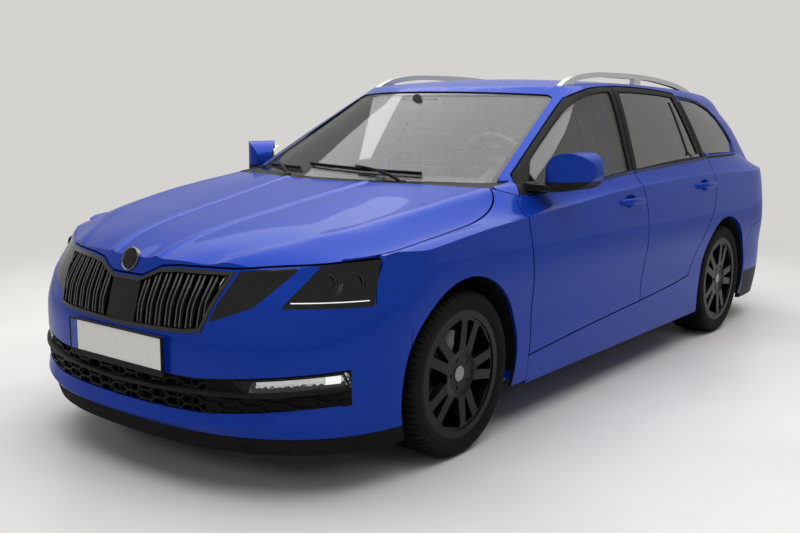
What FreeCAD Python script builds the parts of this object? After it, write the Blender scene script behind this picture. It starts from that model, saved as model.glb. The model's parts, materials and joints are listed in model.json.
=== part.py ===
"""Five-door station wagon: body shell, doors, bonnet, tailgate, cabin, underbody and wheels.

Row frame in millimetres: +Z is up, the front of the car faces -Y and its left side is +X.
The origin is on the ground, midway between the bumpers, on the centre plane.
"""
import FreeCAD, Part
import math
import os

# Driving dimensions, in millimetres
LENGTH = 4667.0              # bumper to bumper
WIDTH = 1814.0               # across the body, without mirrors
WHEELBASE = 2686.0
FRONT_OVERHANG = 888.0       # front axle to the front of the bumper
TRACK = 1544.0               # between the middle planes of the tyres
TYRE_RADIUS = 318.5
TYRE_WIDTH = 225.0
RIM_RADIUS = 228.6           # 18 inch bead seat
RIM_WIDTH = 205.0
ARCH_RADIUS = 372.0          # opening in the wing round each wheel
SILL_HEIGHT = 178.0          # underside of the sills above the ground
BONNET_REAR_HEIGHT = 1003.0  # bonnet surface at its rear edge, on the centre line
ROOF_HEIGHT = 1457.0         # highest point of the roof panel
RAIL_HEIGHT = 1487.0         # top of the roof rails
DOOR_GAP = 7.0               # shut lines round doors and lids
SEAM = 3.0                   # joints between fixed panels
SKIN = 14.0                  # outer layer of doors, wings and lids
DOOR_DEPTH = 75.0            # whole thickness of a door
BOX_INSET = 28.0             # from a door's outline to its inner box
PILLAR_OUT = 88.0            # where pillars and sills start behind the outer surface
PILLAR_STRIP = 38.0          # body-colour strip between windscreen and front door, seen from the front
WINDOW_FRAME = 20.0          # door frame ahead of the front window's glass
BACK_PANEL_HALF = 560.0
DASH_HALF = 690.0
PLATE_PAD_HALF = 262.0
PLATE_HOLE_SPACING = 260.0
PLATE_HOLE_RADIUS = 3.0
APERTURE_INSET = 50.0        # from a door's outline to the edge of its opening in the body
PILLAR_IN = 135.0            # inner face of pillars and sills
GLASS_OUT = 6.0              # glass lies this far inside the outer surface
GLASS_THICKNESS = 5.0
ROOF_THICKNESS = 26.0
BUMPER_THICKNESS = 26.0
FLOOR_THICKNESS = 16.0
HUB_CLEARANCE = 0.05         # radial, wheel hub on its spindle
SEAT_GAP = 0.3               # between pieces of different bodies that rest together

FRONT_END = -LENGTH / 2
REAR_END = LENGTH / 2
FRONT_AXLE = FRONT_END + FRONT_OVERHANG
REAR_AXLE = FRONT_AXLE + WHEELBASE
HALF = WIDTH / 2
WHEEL_X = TRACK / 2

V = FreeCAD.Vector


# Numerical helpers

def basis_row(knots, count, t):
    """Values of the cubic basis functions of a clamped knot vector at t."""
    span = 3
    while span < count - 1 and t >= knots[span + 1]:
        span += 1
    left = [0.0] * 4
    right = [0.0] * 4
    values = [1.0]
    for j in range(1, 4):
        left[j] = t - knots[span + 1 - j]
        right[j] = knots[span + j] - t
        saved = 0.0
        raised = []
        for r in range(j):
            share = values[r] / (right[r + 1] + left[j - r])
            raised.append(saved + right[r + 1] * share)
            saved = left[j - r] * share
        raised.append(saved)
        values = raised
    row = [0.0] * count
    for r in range(4):
        row[span - 3 + r] = values[r]
    return row


def solve(matrix, rights):
    """Solve matrix * x = rights for several right-hand sides, with row pivoting."""
    n = len(matrix)
    rows = [list(matrix[i]) + list(rights[i]) for i in range(n)]
    width = len(rows[0])
    for i in range(n):
        pivot = max(range(i, n), key=lambda k: abs(rows[k][i]))
        rows[i], rows[pivot] = rows[pivot], rows[i]
        for k in range(i + 1, n):
            factor = rows[k][i] / rows[i][i]
            if factor:
                rows[k] = [b - factor * a for a, b in zip(rows[i], rows[k])]
    out = [None] * n
    for i in range(n - 1, -1, -1):
        values = rows[i][n:]
        for k in range(i + 1, n):
            if rows[i][k]:
                values = [v - rows[i][k] * w for v, w in zip(values, out[k])]
        out[i] = [v / rows[i][i] for v in values]
        assert len(out[i]) == width - n
    return out


def averaged_parameters(rows):
    """Centripetal parameters along the rows, averaged over all of them."""
    count = len(rows[0])
    total = [0.0] * count
    for row in rows:
        lengths = [0.0]
        for p, q in zip(row, row[1:]):
            lengths.append(lengths[-1] + (q - p).Length ** 0.5)
        for i in range(count):
            total[i] += lengths[i] / lengths[-1]
    return [v / len(rows) for v in total]


def clamped_knots(params):
    inner = [sum(params[i:i + 3]) / 3 for i in range(1, len(params) - 3)]
    return [params[0]] * 4 + inner + [params[-1]] * 4


def knots_and_multiplicities(knots):
    values, counts = [], []
    for knot in knots:
        if values and abs(values[-1] - knot) < 1e-12:
            counts[-1] += 1
        else:
            values.append(knot)
            counts.append(1)
    return values, counts


def surface_through(grid):
    """Bicubic surface through a grid of points, with its parameters along the rows."""
    along = averaged_parameters(grid)
    across = averaged_parameters([list(column) for column in zip(*grid)])
    knots_u, knots_v = clamped_knots(across), clamped_knots(along)
    rows_u = [basis_row(knots_u, len(across), t) for t in across]
    rows_v = [basis_row(knots_v, len(along), t) for t in along]
    first = solve(rows_u, [[c for point in row for c in (point.x, point.y, point.z)] for row in grid])
    columns = [[c for i in range(len(across)) for c in first[i][3 * j:3 * j + 3]] for j in range(len(along))]
    second = solve(rows_v, columns)
    poles = [[V(*second[j][3 * i:3 * i + 3]) for j in range(len(along))] for i in range(len(across))]
    values_u, counts_u = knots_and_multiplicities(knots_u)
    values_v, counts_v = knots_and_multiplicities(knots_v)
    surface = Part.BSplineSurface()
    surface.buildFromPolesMultsKnots(poles, counts_u, counts_v, values_u, values_v, False, False, 3, 3)
    return surface, along


def table_value(table, t):
    """Smooth value at t of a table of (position, value) pairs, with no overshoot."""
    if t <= table[0][0]:
        return float(table[0][1])
    if t >= table[-1][0]:
        return float(table[-1][1])
    steps = [(q[1] - p[1]) / (q[0] - p[0]) for p, q in zip(table, table[1:])]
    slopes = [steps[0]]
    for a, b in zip(steps, steps[1:]):
        slopes.append(0.0 if a * b <= 0 else 2 * a * b / (a + b))
    slopes.append(steps[-1])
    for i in range(len(table) - 1):
        t0, v0 = table[i]
        t1, v1 = table[i + 1]
        if t <= t1:
            h = t1 - t0
            s = (t - t0) / h
            return ((1 + 2 * s) * (1 - s) ** 2 * v0 + s * (1 - s) ** 2 * h * slopes[i]
                    + s * s * (3 - 2 * s) * v1 + s * s * (s - 1) * h * slopes[i + 1])


# Lower body: horizontal loops, from the sills up to the shoulder

LOOP_HEIGHTS = (140, 200, 260, 330, 400, 470, 540, 600, 650, 720, 800, 900, 1000, 1100)
NOSE_SETBACK = [(140, 33), (200, 15), (260, 5), (330, 0), (450, 0), (530, 5), (600, 21), (685, 45), (758, 71),
                (830, 98), (950, 144), (1100, 194)]
TAIL_SETBACK = [(140, 48), (200, 33), (260, 13), (330, 0), (560, 0), (640, 11), (700, 21), (900, 33),
                (1000, 63), (1100, 103)]
SIDE_SETBACK = [(140, 39), (200, 29), (300, 19), (400, 14), (470, 14), (540, 8), (600, 2), (650, 0), (720, 2),
                (800, 9), (900, 23), (1000, 45), (1100, 69)]
NOSE_SQUARENESS = [(140, 2.5), (500, 2.575), (600, 2.45), (685, 2.25), (758, 1.95), (900, 1.9)]
TAIL_SQUARENESS = 3.0
NOSE_START = FRONT_AXLE - 205.0    # the plan curve of the nose starts here
TAIL_START = REAR_AXLE + 410.0
CORNER_STEPS = 11
LOOP_WRAP = 3                      # points repeated past the rear centre, so the seam is smooth


def lower_loop(z, inset):
    """Left half of the lower body's outline at one height, from the nose to the tail."""
    half = HALF - table_value(SIDE_SETBACK, z) - inset
    nose = FRONT_END + table_value(NOSE_SETBACK, z) + inset
    tail = REAR_END - table_value(TAIL_SETBACK, z) - inset
    squareness = table_value(NOSE_SQUARENESS, z)
    points = []
    for i in range(CORNER_STEPS + 1):
        angle = i / CORNER_STEPS * math.pi / 2
        points.append((half * math.sin(angle) ** (2 / squareness),
                       NOSE_START + (nose - NOSE_START) * math.cos(angle) ** (2 / squareness)))
    for step in range(1, 8):
        points.append((half, NOSE_START + (TAIL_START - NOSE_START) * step / 8))
    for i in range(CORNER_STEPS, -1, -1):
        angle = i / CORNER_STEPS * math.pi / 2
        points.append((half * math.sin(angle) ** (2 / TAIL_SQUARENESS),
                       TAIL_START + (tail - TAIL_START) * math.cos(angle) ** (2 / TAIL_SQUARENESS)))
    return [V(x, y, z) for x, y in points]


def full_ring(half_points):
    """Closed row of points: rear centre, right side, nose, left side, rear centre, wrapped at both ends."""
    right = [V(-p.x, p.y, p.z) for p in reversed(half_points[1:-1])]
    ring = right + half_points
    rear = [ring[-1]]
    return ring[-LOOP_WRAP - 1:-1] + rear + ring + ring[:LOOP_WRAP]


def body_from_rings(rings):
    """Closed solid between flat caps at the first and last ring."""
    surface, params = surface_through(rings)
    count = len(params)
    middle = params[(count - 1) // 2]
    start, end = params[LOOP_WRAP], params[count - 1 - LOOP_WRAP]
    low, high = surface.bounds()[0], surface.bounds()[1]
    sides = []
    for a, b in ((start, middle), (middle, end)):
        piece = surface.copy()
        piece.segment(low, high, a, b)
        sides.append(piece.toShape())
    caps = []
    for z in (rings[0][0].z, rings[-1][0].z):
        rim = [edge for side in sides for edge in side.Edges
               if abs(edge.BoundBox.ZMin - z) < 0.01 and abs(edge.BoundBox.ZMax - z) < 0.01]
        caps.append(Part.Face(Part.Wire(rim)))
    return Part.Solid(Part.Shell(sides + caps))


def lower_body(inset):
    return body_from_rings([full_ring(lower_loop(z, inset)) for z in LOOP_HEIGHTS])


# Deck: the surface of the bonnet, wing tops and shoulders

DECK_CENTRE = [(-2450, 640), (-2340, 715), (-2280, 762), (-2200, 803), (-2100, 838), (-2000, 862), (-1850, 890),
               (-1700, 916), (-1500, 951), (-1300, 985), (-1150, 1003), (-1000, 1010), (-600, 1010), (1900, 985),
               (2150, 935), (2450, 895)]
RIDGE_X = [(-2450, 100), (-2340, 112), (-2280, 120), (-2150, 138), (-1800, 171), (-1450, 204), (-1200, 230),
           (-900, 240)]
BONNET_EDGE_X = [(-2450, 330), (-2280, 380), (-2150, 455), (-2000, 558), (-1880, 622), (-1800, 655), (-1700, 678),
                 (-1500, 708), (-1300, 720), (-1150, 722), (-1000, 725), (-800, 740), (-400, 750), (1500, 740),
                 (2450, 560)]
BONNET_EDGE_Z = [(-2450, 600), (-2280, 715), (-2150, 790), (-2000, 831), (-1880, 862), (-1800, 875), (-1700, 892),
                 (-1500, 925), (-1300, 953), (-1150, 973), (-1000, 992), (-800, 1006), (-400, 1012), (1900, 988),
                 (2150, 935), (2450, 890)]
SLOPE_X = [(-2450, 520), (-2280, 560), (-2150, 610), (-2000, 700), (-1880, 716), (-1800, 731), (-1700, 743),
           (-1500, 761), (-1300, 766), (-1150, 757), (-1000, 762), (-800, 783), (-400, 790), (900, 792),
           (1500, 770), (1900, 725), (2450, 600)]
SLOPE_Z = [(-2450, 540), (-2280, 640), (-2150, 722), (-2000, 796), (-1880, 832), (-1800, 848), (-1700, 866),
           (-1500, 893), (-1300, 920), (-1150, 954), (-1000, 984), (-800, 996), (-400, 1002), (0, 1014),
           (500, 1036), (1000, 1050), (1500, 1050), (1900, 1005), (2150, 935), (2450, 885)]
BELT_X = [(-2450, 780), (-2000, 810), (-1800, 818), (-1500, 825), (-1300, 818), (-1150, 797), (-1000, 805),
          (-800, 820), (1000, 821), (1500, 800), (1900, 757), (2200, 700), (2450, 660)]
BELT_Z = [(-2450, 500), (-2280, 600), (-2150, 680), (-2000, 775), (-1880, 803), (-1800, 815), (-1700, 830),
          (-1500, 853), (-1300, 878), (-1150, 915), (-1000, 944), (-800, 954), (-400, 977), (0, 999), (500, 1026),
          (1000, 1043), (1500, 1044), (1900, 1000), (2150, 930), (2450, 880)]
SHOULDER_X = [(-2450, 880), (-1882, 880), (-1500, 884), (-1150, 887), (-984, 889), (-400, 897), (500, 898),
              (1500, 895), (2450, 885)]
SHOULDER_Z = [(-2450, 690), (-2280, 735), (-2100, 770), (-2000, 785), (-1882, 801), (-1773, 814), (-1661, 826),
              (-1537, 837), (-1420, 847), (-1273, 858), (-1150, 865), (-984, 873), (-608, 893), (-372, 907),
              (87, 924), (532, 931), (1000, 934), (1500, 931), (1900, 920), (2200, 893), (2450, 868)]
DECK_STATIONS = (-2450, -2340, -2280, -2215, -2150, -2075, -2000, -1940, -1880, -1800, -1700, -1600, -1500,
                 -1400, -1300, -1225, -1150, -1075, -1000, -900, -800, -600, -400, 0, 500, 1000, 1500, 1900,
                 2150, 2450)
RIDGE_HEIGHT = 5.0
RIDGE_SOFTNESS = 16.0
DECK_DEPTH = 1300.0
LEDGE = 22.0


def deck_row(y, inset):
    """Half section of the deck at one station, from the centre line outwards."""
    centre = table_value(DECK_CENTRE, y)
    ridge = table_value(RIDGE_X, y)
    edge_x, edge_z = table_value(BONNET_EDGE_X, y), table_value(BONNET_EDGE_Z, y)
    slope_x, slope_z = table_value(SLOPE_X, y), table_value(SLOPE_Z, y)
    belt_x, belt_z = table_value(BELT_X, y), table_value(BELT_Z, y)
    shoulder_x, shoulder_z = table_value(SHOULDER_X, y), table_value(SHOULDER_Z, y)

    def crown(x):
        return centre - (centre - edge_z) * (x / edge_x) ** 2.2

    section = [(0, centre), (ridge - 3 * RIDGE_SOFTNESS, crown(ridge) - 0.3),
               (ridge - RIDGE_SOFTNESS, crown(ridge) + 0.35 * RIDGE_HEIGHT),
               (ridge, crown(ridge) + RIDGE_HEIGHT),
               (ridge + RIDGE_SOFTNESS, crown(ridge + RIDGE_SOFTNESS) + 0.35 * RIDGE_HEIGHT),
               (ridge + 3 * RIDGE_SOFTNESS, crown(ridge + 3 * RIDGE_SOFTNESS))]
    middle = (ridge + 3 * RIDGE_SOFTNESS + edge_x) / 2
    section += [(middle, crown(middle)), (edge_x - 45, crown(edge_x - 45)), (edge_x, edge_z), (slope_x, slope_z),
                (belt_x, belt_z), (shoulder_x - LEDGE, shoulder_z + 9), (shoulder_x, shoulder_z),
                (shoulder_x + 60, shoulder_z - 30)]
    points = []
    for x, z in section:
        share = min(1.0, max(0.0, (x - ridge) / (belt_x - ridge)))
        points.append(V(x * (1 - inset / 880.0), y, z - inset * (1 - 0.45 * share)))
    return points


def deck(inset):
    """Everything below the deck surface."""
    rows = []
    for y in DECK_STATIONS:
        half = deck_row(y, inset)
        rows.append([V(-p.x, p.y, p.z) for p in reversed(half[1:])] + half)
    surface, _ = surface_through(rows)
    return surface.toShape().extrude(V(0, 0, -DECK_DEPTH))


# Upper body: loops round windscreen, side windows and rear window, and the roof over them

UPPER_HEIGHTS = (860, 930, 1003, 1080, 1180, 1280, 1345, 1378, 1402, 1420, 1434, 1460, 1520)
ROOF_LINE = [(-800, 1350), (-600, 1373), (-528, 1388), (-420, 1406), (-300, 1423), (-150, 1438), (50, 1451),
             (300, ROOF_HEIGHT), (700, ROOF_HEIGHT - 1), (1100, 1446), (1500, 1424), (1800, 1401), (1950, 1386),
             (2200, 1358)]
CANT_X = [(860, 872), (930, 848), (1003, 820), (1080, 789), (1180, 747), (1280, 704), (1345, 672), (1378, 654),
          (1402, 637), (1420, 618), (1434, 597), (1460, 545), (1520, 400)]
SCREEN_BASE_Y = -1215.0        # windscreen on the centre line at the bonnet's rear height
SCREEN_RAKE = 1.872            # run of the windscreen per unit of height
SCREEN_BULGE = 20.0
SCREEN_CORNER_X = 690.0
SCREEN_CORNER_Y = -953.0
SCREEN_CORNER_TAPER = 0.299
SCREEN_CORNER_RAKE = 1.83
TAIL_GLASS_Y = 2272.0          # tailgate surface on the centre line, 950 above the ground
TAIL_GLASS_RAKE = 0.70
UPPER_MIDDLE = 450.0


def cant_x(y, z, roof_drop=0.0):
    """Half width of the upper body."""
    x = table_value(CANT_X, z + roof_drop)
    if y < -300:
        x -= 30.0 * ((-300 - y) / 650.0) ** 2
    if y > 600:
        x -= 55.0 * ((y - 600) / 1200.0) ** 2
    return x


def upper_loop(z, inset):
    """Left half of the upper body's outline at one level, from the windscreen to the tailgate."""
    follows_roof = min(1.0, max(0.0, (z - 1180) / 165.0)) if z < 1520 else 0.0

    def level(y):
        return z + follows_roof * (table_value(ROOF_LINE, y) - ROOF_HEIGHT)

    def screen_y(height):
        bulge = (height - 1186) / 183.0
        return SCREEN_BASE_Y + (height - 1003) * SCREEN_RAKE - SCREEN_BULGE * max(-1.5, 1 - bulge * bulge)

    def settle(line):
        """Point where a line that depends on height meets this level."""
        y = line(z)
        for _ in range(12):
            y = 0.5 * (y + line(level(y)))
        return y, level(y)

    points = []
    for share in (0.0, 0.28, 0.54, 0.78, 1.0):
        def line(height, share=share):
            centre = screen_y(height)
            corner = SCREEN_CORNER_Y + (height - 1003) * SCREEN_CORNER_RAKE
            return centre + (corner - centre) * share ** 2.1
        y, height = settle(line)
        corner_x = SCREEN_CORNER_X - (height - 1003) * SCREEN_CORNER_TAPER
        points.append((corner_x * share, y, height))
    corner = points[-1]
    for across, back in ((0.50, 38), (0.83, 92), (0.97, 160)):
        y = corner[1] + back
        height = level(y)
        side = cant_x(y, z)
        points.append((corner[0] + (side - corner[0]) * across, y, height))
    tail_y, tail_z = settle(lambda height: TAIL_GLASS_Y - (height - 950) * TAIL_GLASS_RAKE)
    side_start = points[-1][1]
    side_end = tail_y - 480
    for step in range(1, 9):
        y = side_start + (side_end - side_start) * step / 8
        points.append((cant_x(y, z), y, level(y)))
    half = cant_x(side_end, z)
    for i in range(7, -1, -1):
        angle = i / 8 * math.pi / 2
        y = side_end + (tail_y - side_end) * math.cos(angle) ** (2 / 3.2)
        points.append(((half - 8) * math.sin(angle) ** (2 / 3.2), y, level(y)))
    front, rear = points[0][1], points[-1][1]
    half_here = cant_x(UPPER_MIDDLE, z)
    moved = []
    for x, y, height in points:
        if y < UPPER_MIDDLE:
            y = UPPER_MIDDLE + (y - UPPER_MIDDLE) * (1 - 2.0 * inset / (UPPER_MIDDLE - front))
        else:
            y = UPPER_MIDDLE + (y - UPPER_MIDDLE) * (1 - 1.2 * inset / (rear - UPPER_MIDDLE))
        moved.append(V(x * (1 - 1.08 * inset / half_here), y, height))
    return moved


def upper_body(inset):
    return body_from_rings([full_ring(upper_loop(z, inset)) for z in UPPER_HEIGHTS])


ROOF_STATIONS = (-1500, -1100, -800, -600, -528, -420, -300, -150, 50, 300, 700, 1100, 1500, 1800, 1950, 2200, 2500)
ROOF_CROWN = [(0, 0), (150, 2), (300, 7), (420, 13), (500, 18.5), (560, 24), (610, 31), (680, 44), (800, 75),
              (1000, 135)]


def roof(inset):
    """Everything below the roof surface."""
    rows = []
    for y in ROOF_STATIONS:
        top = table_value(ROOF_LINE, y) - inset
        half = [V(x, y, top - drop) for x, drop in ROOF_CROWN]
        rows.append([V(-p.x, p.y, p.z) for p in reversed(half[1:])] + half)
    surface, _ = surface_through(rows)
    return surface.toShape().extrude(V(0, 0, -900))


volume_cache = {}


def lower_volume(inset):
    key = ("lower", inset)
    if key not in volume_cache:
        volume_cache[key] = lower_body(inset).common(deck(inset))
    return volume_cache[key]


def upper_volume(inset):
    key = ("upper", inset)
    if key not in volume_cache:
        volume_cache[key] = upper_body(inset).common(roof(inset))
    return volume_cache[key]


def volume(inset):
    key = ("whole", inset)
    if key not in volume_cache:
        volume_cache[key] = lower_volume(inset).fuse(upper_volume(inset))
    return volume_cache[key]



# Outlines and prisms

def outline(items, place=None):
    """Closed wire; a tuple is a corner, with an optional radius, and a list is a smooth curve."""
    place = place or (lambda p: p)
    corners = []
    for item in items:
        if isinstance(item, list):
            corners.append(([V(a, b, 0) for a, b in item], 0.0))
        else:
            corners.append(([V(item[0], item[1], 0)], item[2] if len(item) > 2 else 0.0))
    ends = []
    for i, (points, radius) in enumerate(corners):
        if len(points) > 1 or radius == 0.0:
            ends.append((points[0], points[-1]))
            continue
        here = points[0]
        before = (corners[i - 1][0][-1] - here).normalize()
        after = (corners[(i + 1) % len(corners)][0][0] - here).normalize()
        cut = radius / math.tan(before.getAngle(after) / 2)
        ends.append((here + before * cut, here + after * cut))
    edges = []
    for i, (points, radius) in enumerate(corners):
        first, last = ends[i]
        if len(points) > 1:
            spline = Part.BSplineCurve()
            spline.interpolate([place(p) for p in points])
            edges.append(spline.toShape())
        elif radius > 0.0:
            here = points[0]
            inward = ((first - here) + (last - here)).normalize()
            cut = (first - here).Length
            reach = cut / math.cos(inward.getAngle(first - here))
            middle = here + inward * (reach - radius)
            edges.append(Part.Arc(place(first), place(middle), place(last)).toShape())
        following = ends[(i + 1) % len(corners)][0]
        if (following - last).Length > 1e-6:
            edges.append(Part.LineSegment(place(last), place(following)).toShape())
    return Part.Wire(Part.__sortEdges__(edges))


def grown(items, gap):
    """The outline moved outwards by a gap, or inwards by a negative one, with its corners mitred."""
    flat = [(i, j, point) for i, item in enumerate(items)
            for j, point in enumerate(item if isinstance(item, list) else [item])]
    ring = []
    places = {}
    for i, j, point in flat:
        here = V(point[0], point[1], 0)
        if not ring or (here - ring[-1]).Length > 1e-6:
            ring.append(here)
        places[i, j] = len(ring) - 1
    if (ring[0] - ring[-1]).Length < 1e-6:
        ring.pop()
    count = len(ring)
    area = sum(ring[k - 1].x * ring[k].y - ring[k].x * ring[k - 1].y for k in range(count))
    turn = 1 if area > 0 else -1
    moved = []
    for k in range(count):
        before = (ring[k] - ring[k - 1]).normalize()
        after = (ring[(k + 1) % count] - ring[k]).normalize()
        normal_a = V(before.y, -before.x, 0) * turn
        normal_b = V(after.y, -after.x, 0) * turn
        moved.append(ring[k] + (normal_a + normal_b) * (gap / max(0.3, 1 + normal_a.dot(normal_b))))
    out = []
    for i, item in enumerate(items):
        if isinstance(item, list):
            shifted = [moved[places[i, j] % count] for j in range(len(item))]
            out.append([(p.x, p.y) for p in shifted])
        else:
            p = moved[places[i, 0] % count]
            out.append((p.x, p.y) + tuple(item[2:]))
    return out


def flat_face(items, grow):
    return Part.Face(outline(grown(items, grow) if grow else items))


def prism_x(items, x0, x1, grow=0.0):
    """Outline in (y, z), from x0 to x1, grown outwards by a gap if one is given."""
    face = flat_face(items, grow)
    face.transformShape(FreeCAD.Matrix(0, 0, 1, x0, 1, 0, 0, 0, 0, 1, 0, 0, 0, 0, 0, 1))
    return face.extrude(V(x1 - x0, 0, 0))


def prism_y(items, y0, y1, grow=0.0):
    """Outline in (x, z), from y0 to y1."""
    face = flat_face(items, grow)
    face.transformShape(FreeCAD.Matrix(1, 0, 0, 0, 0, 0, 1, y0, 0, 1, 0, 0, 0, 0, 0, 1))
    return face.extrude(V(0, y1 - y0, 0))


def prism_z(items, z0, z1, grow=0.0):
    """Outline in (x, y), from z0 to z1."""
    face = flat_face(items, grow)
    face.translate(V(0, 0, z0))
    return face.extrude(V(0, 0, z1 - z0))


def both_sides(half):
    """Outline symmetric about the centre plane, from its right half's points, centre line first and last."""
    return list(half) + [(-item[0],) + tuple(item[1:]) for item in reversed(half[1:-1])]


def block(x0, x1, y0, y1, z0, z1):
    return Part.makeBox(x1 - x0, y1 - y0, z1 - z0, V(x0, y0, z0))


def cylinder_x(radius, x0, x1, y, z):
    return Part.makeCylinder(radius, x1 - x0, V(x0, y, z), V(1, 0, 0))


def rod(start, end, radius):
    return Part.makeCylinder(radius, (end - start).Length, start, end - start)


def mirrored(shape):
    return shape.mirror(V(0, 0, 0), V(1, 0, 0))


def both(shape):
    return [shape, mirrored(shape)]


def fused(*shapes):
    return shapes[0].fuse(list(shapes[1:])) if len(shapes) > 1 else shapes[0]


def largest(shape):
    """The biggest solid of a result, without stray slivers."""
    return max(shape.Solids, key=lambda solid: solid.Volume)


def layer(outer, inner, region):
    """The part of the body's wall between two insets that lies in a region."""
    return volume(outer).common(region).cut(volume(inner))


# Panel outlines. Side outlines are (y, z), front outlines (x, z) and plan outlines (x, y)

FRONT_DOOR_SILL = [(-972, 303), (-714, 322), (-287, 349), (84, 368)]
FRONT_DOOR_REAR = [(84, 368), (99, 542), (121, 672), (124, 796), (103, 900), (97, 1003)]
FRONT_DOOR_TOP = [(205, 1409), (45, 1403), (-190, 1368), (-473, 1278), (-690, 1170), (-940, 958)]
FRONT_DOOR_FRONT = [(-952, 940), (-1003, 880), (-1004, 850), (-991, 748), (-977, 563), (-972, 384)]
FRONT_DOOR = [FRONT_DOOR_SILL, FRONT_DOOR_REAR, FRONT_DOOR_TOP, FRONT_DOOR_FRONT]
FRONT_WINDOW = [[(-893, 958), (-500, 975), (-147, 994), (50, 1006)], (58, 1006), (152, 1366), (149, 1384),
                [(144, 1386), (30, 1380), (-180, 1344), (-458, 1252), (-672, 1148)], (-893, 966)]
REAR_DOOR_ARCH = [(704, 418), (765, 500), (850, 588), (940, 668), (1010, 738), (1052, 810), (1070, 880)]
REAR_DOOR = [[(92, 369), (320, 383), (558, 400), (704, 418)], REAR_DOOR_ARCH, (1071, 960), (1064, 1040),
             [(981, 1388), (785, 1401), (500, 1411), (213, 1411)],
             [(105, 1003), (111, 900), (132, 796), (129, 672), (107, 542), (92, 369)]]
REAR_WINDOW = [[(158, 1010), (500, 1029), (800, 1041), (1002, 1044)], (1008, 1044), (930, 1367),
               [(926, 1369), (785, 1377), (500, 1386), (262, 1387)], (254, 1387), (151, 1012)]
QUARTER_WINDOW = [(1108, 1045), (1668, 1045, 12), (1703, 1108, 14), (1590, 1250, 60),
                  [(1520, 1296), (1350, 1338), (1173, 1356), (1040, 1363)], (1033, 1363)]
SCREEN = [(-706, 955), (706, 955), (588, 1352, 20), [(560, 1366), (300, 1376), (0, 1379), (-300, 1376),
          (-560, 1366)], (-588, 1352, 20)]
BONNET_SIDE = [(740, -1074), (770, -1098), (797, -1160), (822, -1300), (829, -1450), (829, -1650),
               (819, -1780), (792, -1880), (742, -1960)]
BONNET_REAR = [(-735, -1074), (-560, -1141), (-300, -1222), (0, -1262), (300, -1222), (560, -1141), (735, -1074)]
BONNET_PLAN = [BONNET_REAR, BONNET_SIDE, (742, -2450), (-742, -2450),
               [(-x, y) for x, y in reversed(BONNET_SIDE)]]
BONNET_LIP = [(0, 718), (82, 718), (118, 734), (165, 757), (240, 765), (457, 767), (560, 777), (665, 785),
              (723, 791), (790, 799), (850, 806), (1000, 812)]
GRILLE = [(0, 706), (70, 706), (112, 722), (160, 745), (240, 753), (457, 755), (398, 558), (330, 548), (0, 540)]
LAMP_INNER = [(470, 757, 6), (652, 775, 10), (560, 648, 30), (416, 590, 6)]
LAMP_OUTER = [(700, 783, 6), (845, 799, 4), (960, 799), (960, 651), (640, 647, 6)]
LAMP_REAR = [(-1950, 500), (-1936, 640), (-1866, 800), (-1850, 900)]
FOG_LAMP = [(514, 406, 4), (812, 438, 4), (822, 385, 8), (575, 352, 8)]
INTAKE = [(0, 402), (380, 402), (500, 412), (830, 447), (862, 330), (700, 305), (440, 262), (300, 255), (0, 250)]
BUMPER_REAR = [(-1776, 150), (-1776, 560), (-1925, 655), (-1905, 720), (-1850, 806)]
REAR_BUMPER_EDGE = [(1622, 150), (1622, 520), (1700, 600), (2010, 642)]
TAILGATE = [(0, 648), (530, 648), (548, 760), (590, 800), (612, 930), (604, 1000), (585, 1150), (556, 1300),
            (540, 1340), (540, 1480), (0, 1480)]
TAILGATE_TOP = 1893.0
REAR_GLASS = [(-525, 985, 40), (525, 985, 40), (488, 1290, 40), (-488, 1290, 40)]
TAIL_LAMP = [(300, 782, 10), (300, 902, 10), (960, 924), (960, 742)]
TAIL_LAMP_FRONT = 2044.0
ROOF_HALF_WIDTH = 572.0
SIDE_TOP = 1600.0
FRAME_FRONT_Y = -1045.0
HINGE_AHEAD = 20.0           # how far a door's hinge brackets reach in front of its inner box
HINGE_X = (800.0, 852.0)
FRONT_HINGES_Z = ((470.0, 530.0), (770.0, 830.0))
REAR_HINGES_Z = ((470.0, 530.0), (770.0, 830.0))
STOPS_Z = ((600.0, 640.0), (760.0, 800.0))
FRONT_STOPS_Y = (0.0, 140.0)
REAR_STOPS_Y = (800.0, 1080.0)


def below_bonnet(gap):
    """Space in front of the car below the bonnet's lower edge."""
    edge = [(x, z - gap) for x, z in BONNET_LIP]
    full = [(-x, z) for x, z in reversed(edge[1:])] + edge
    return prism_y([(-1000, 60)] + full + [(1000, 60)], FRONT_END - 50, NOSE_START - 60)


def bonnet_region(gap):
    return prism_z(BONNET_PLAN, 500, 1200, gap).cut(below_bonnet(gap))


def lamp_region(items, grow=0.0):
    region = prism_y(items, FRONT_END - 60, -1500, grow)
    behind = [(y + grow, z) for y, z in LAMP_REAR] + [(-1300, 900), (-1300, 500)]
    return region.cut(prism_x(behind, 0, 1100))


def wheel_opening(axle_y, radius, inner=560.0):
    return cylinder_x(radius, inner, HALF + 60, axle_y, TYRE_RADIUS)


def tail_lamp_region(grow=0.0):
    return prism_y(TAIL_LAMP, TAIL_LAMP_FRONT - grow, REAR_END + 50, grow)


def tailgate_region(grow=0.0):
    region = prism_y(both_sides(TAILGATE), 1700, REAR_END + 100, grow)
    return region.cut(block(-1000, 1000, 1600, TAILGATE_TOP - grow, 1250, SIDE_TOP))


# Bonnet, wings and bumpers

def build_bonnet():
    return largest(layer(0.0, SKIN, bonnet_region(0.0)))


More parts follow.
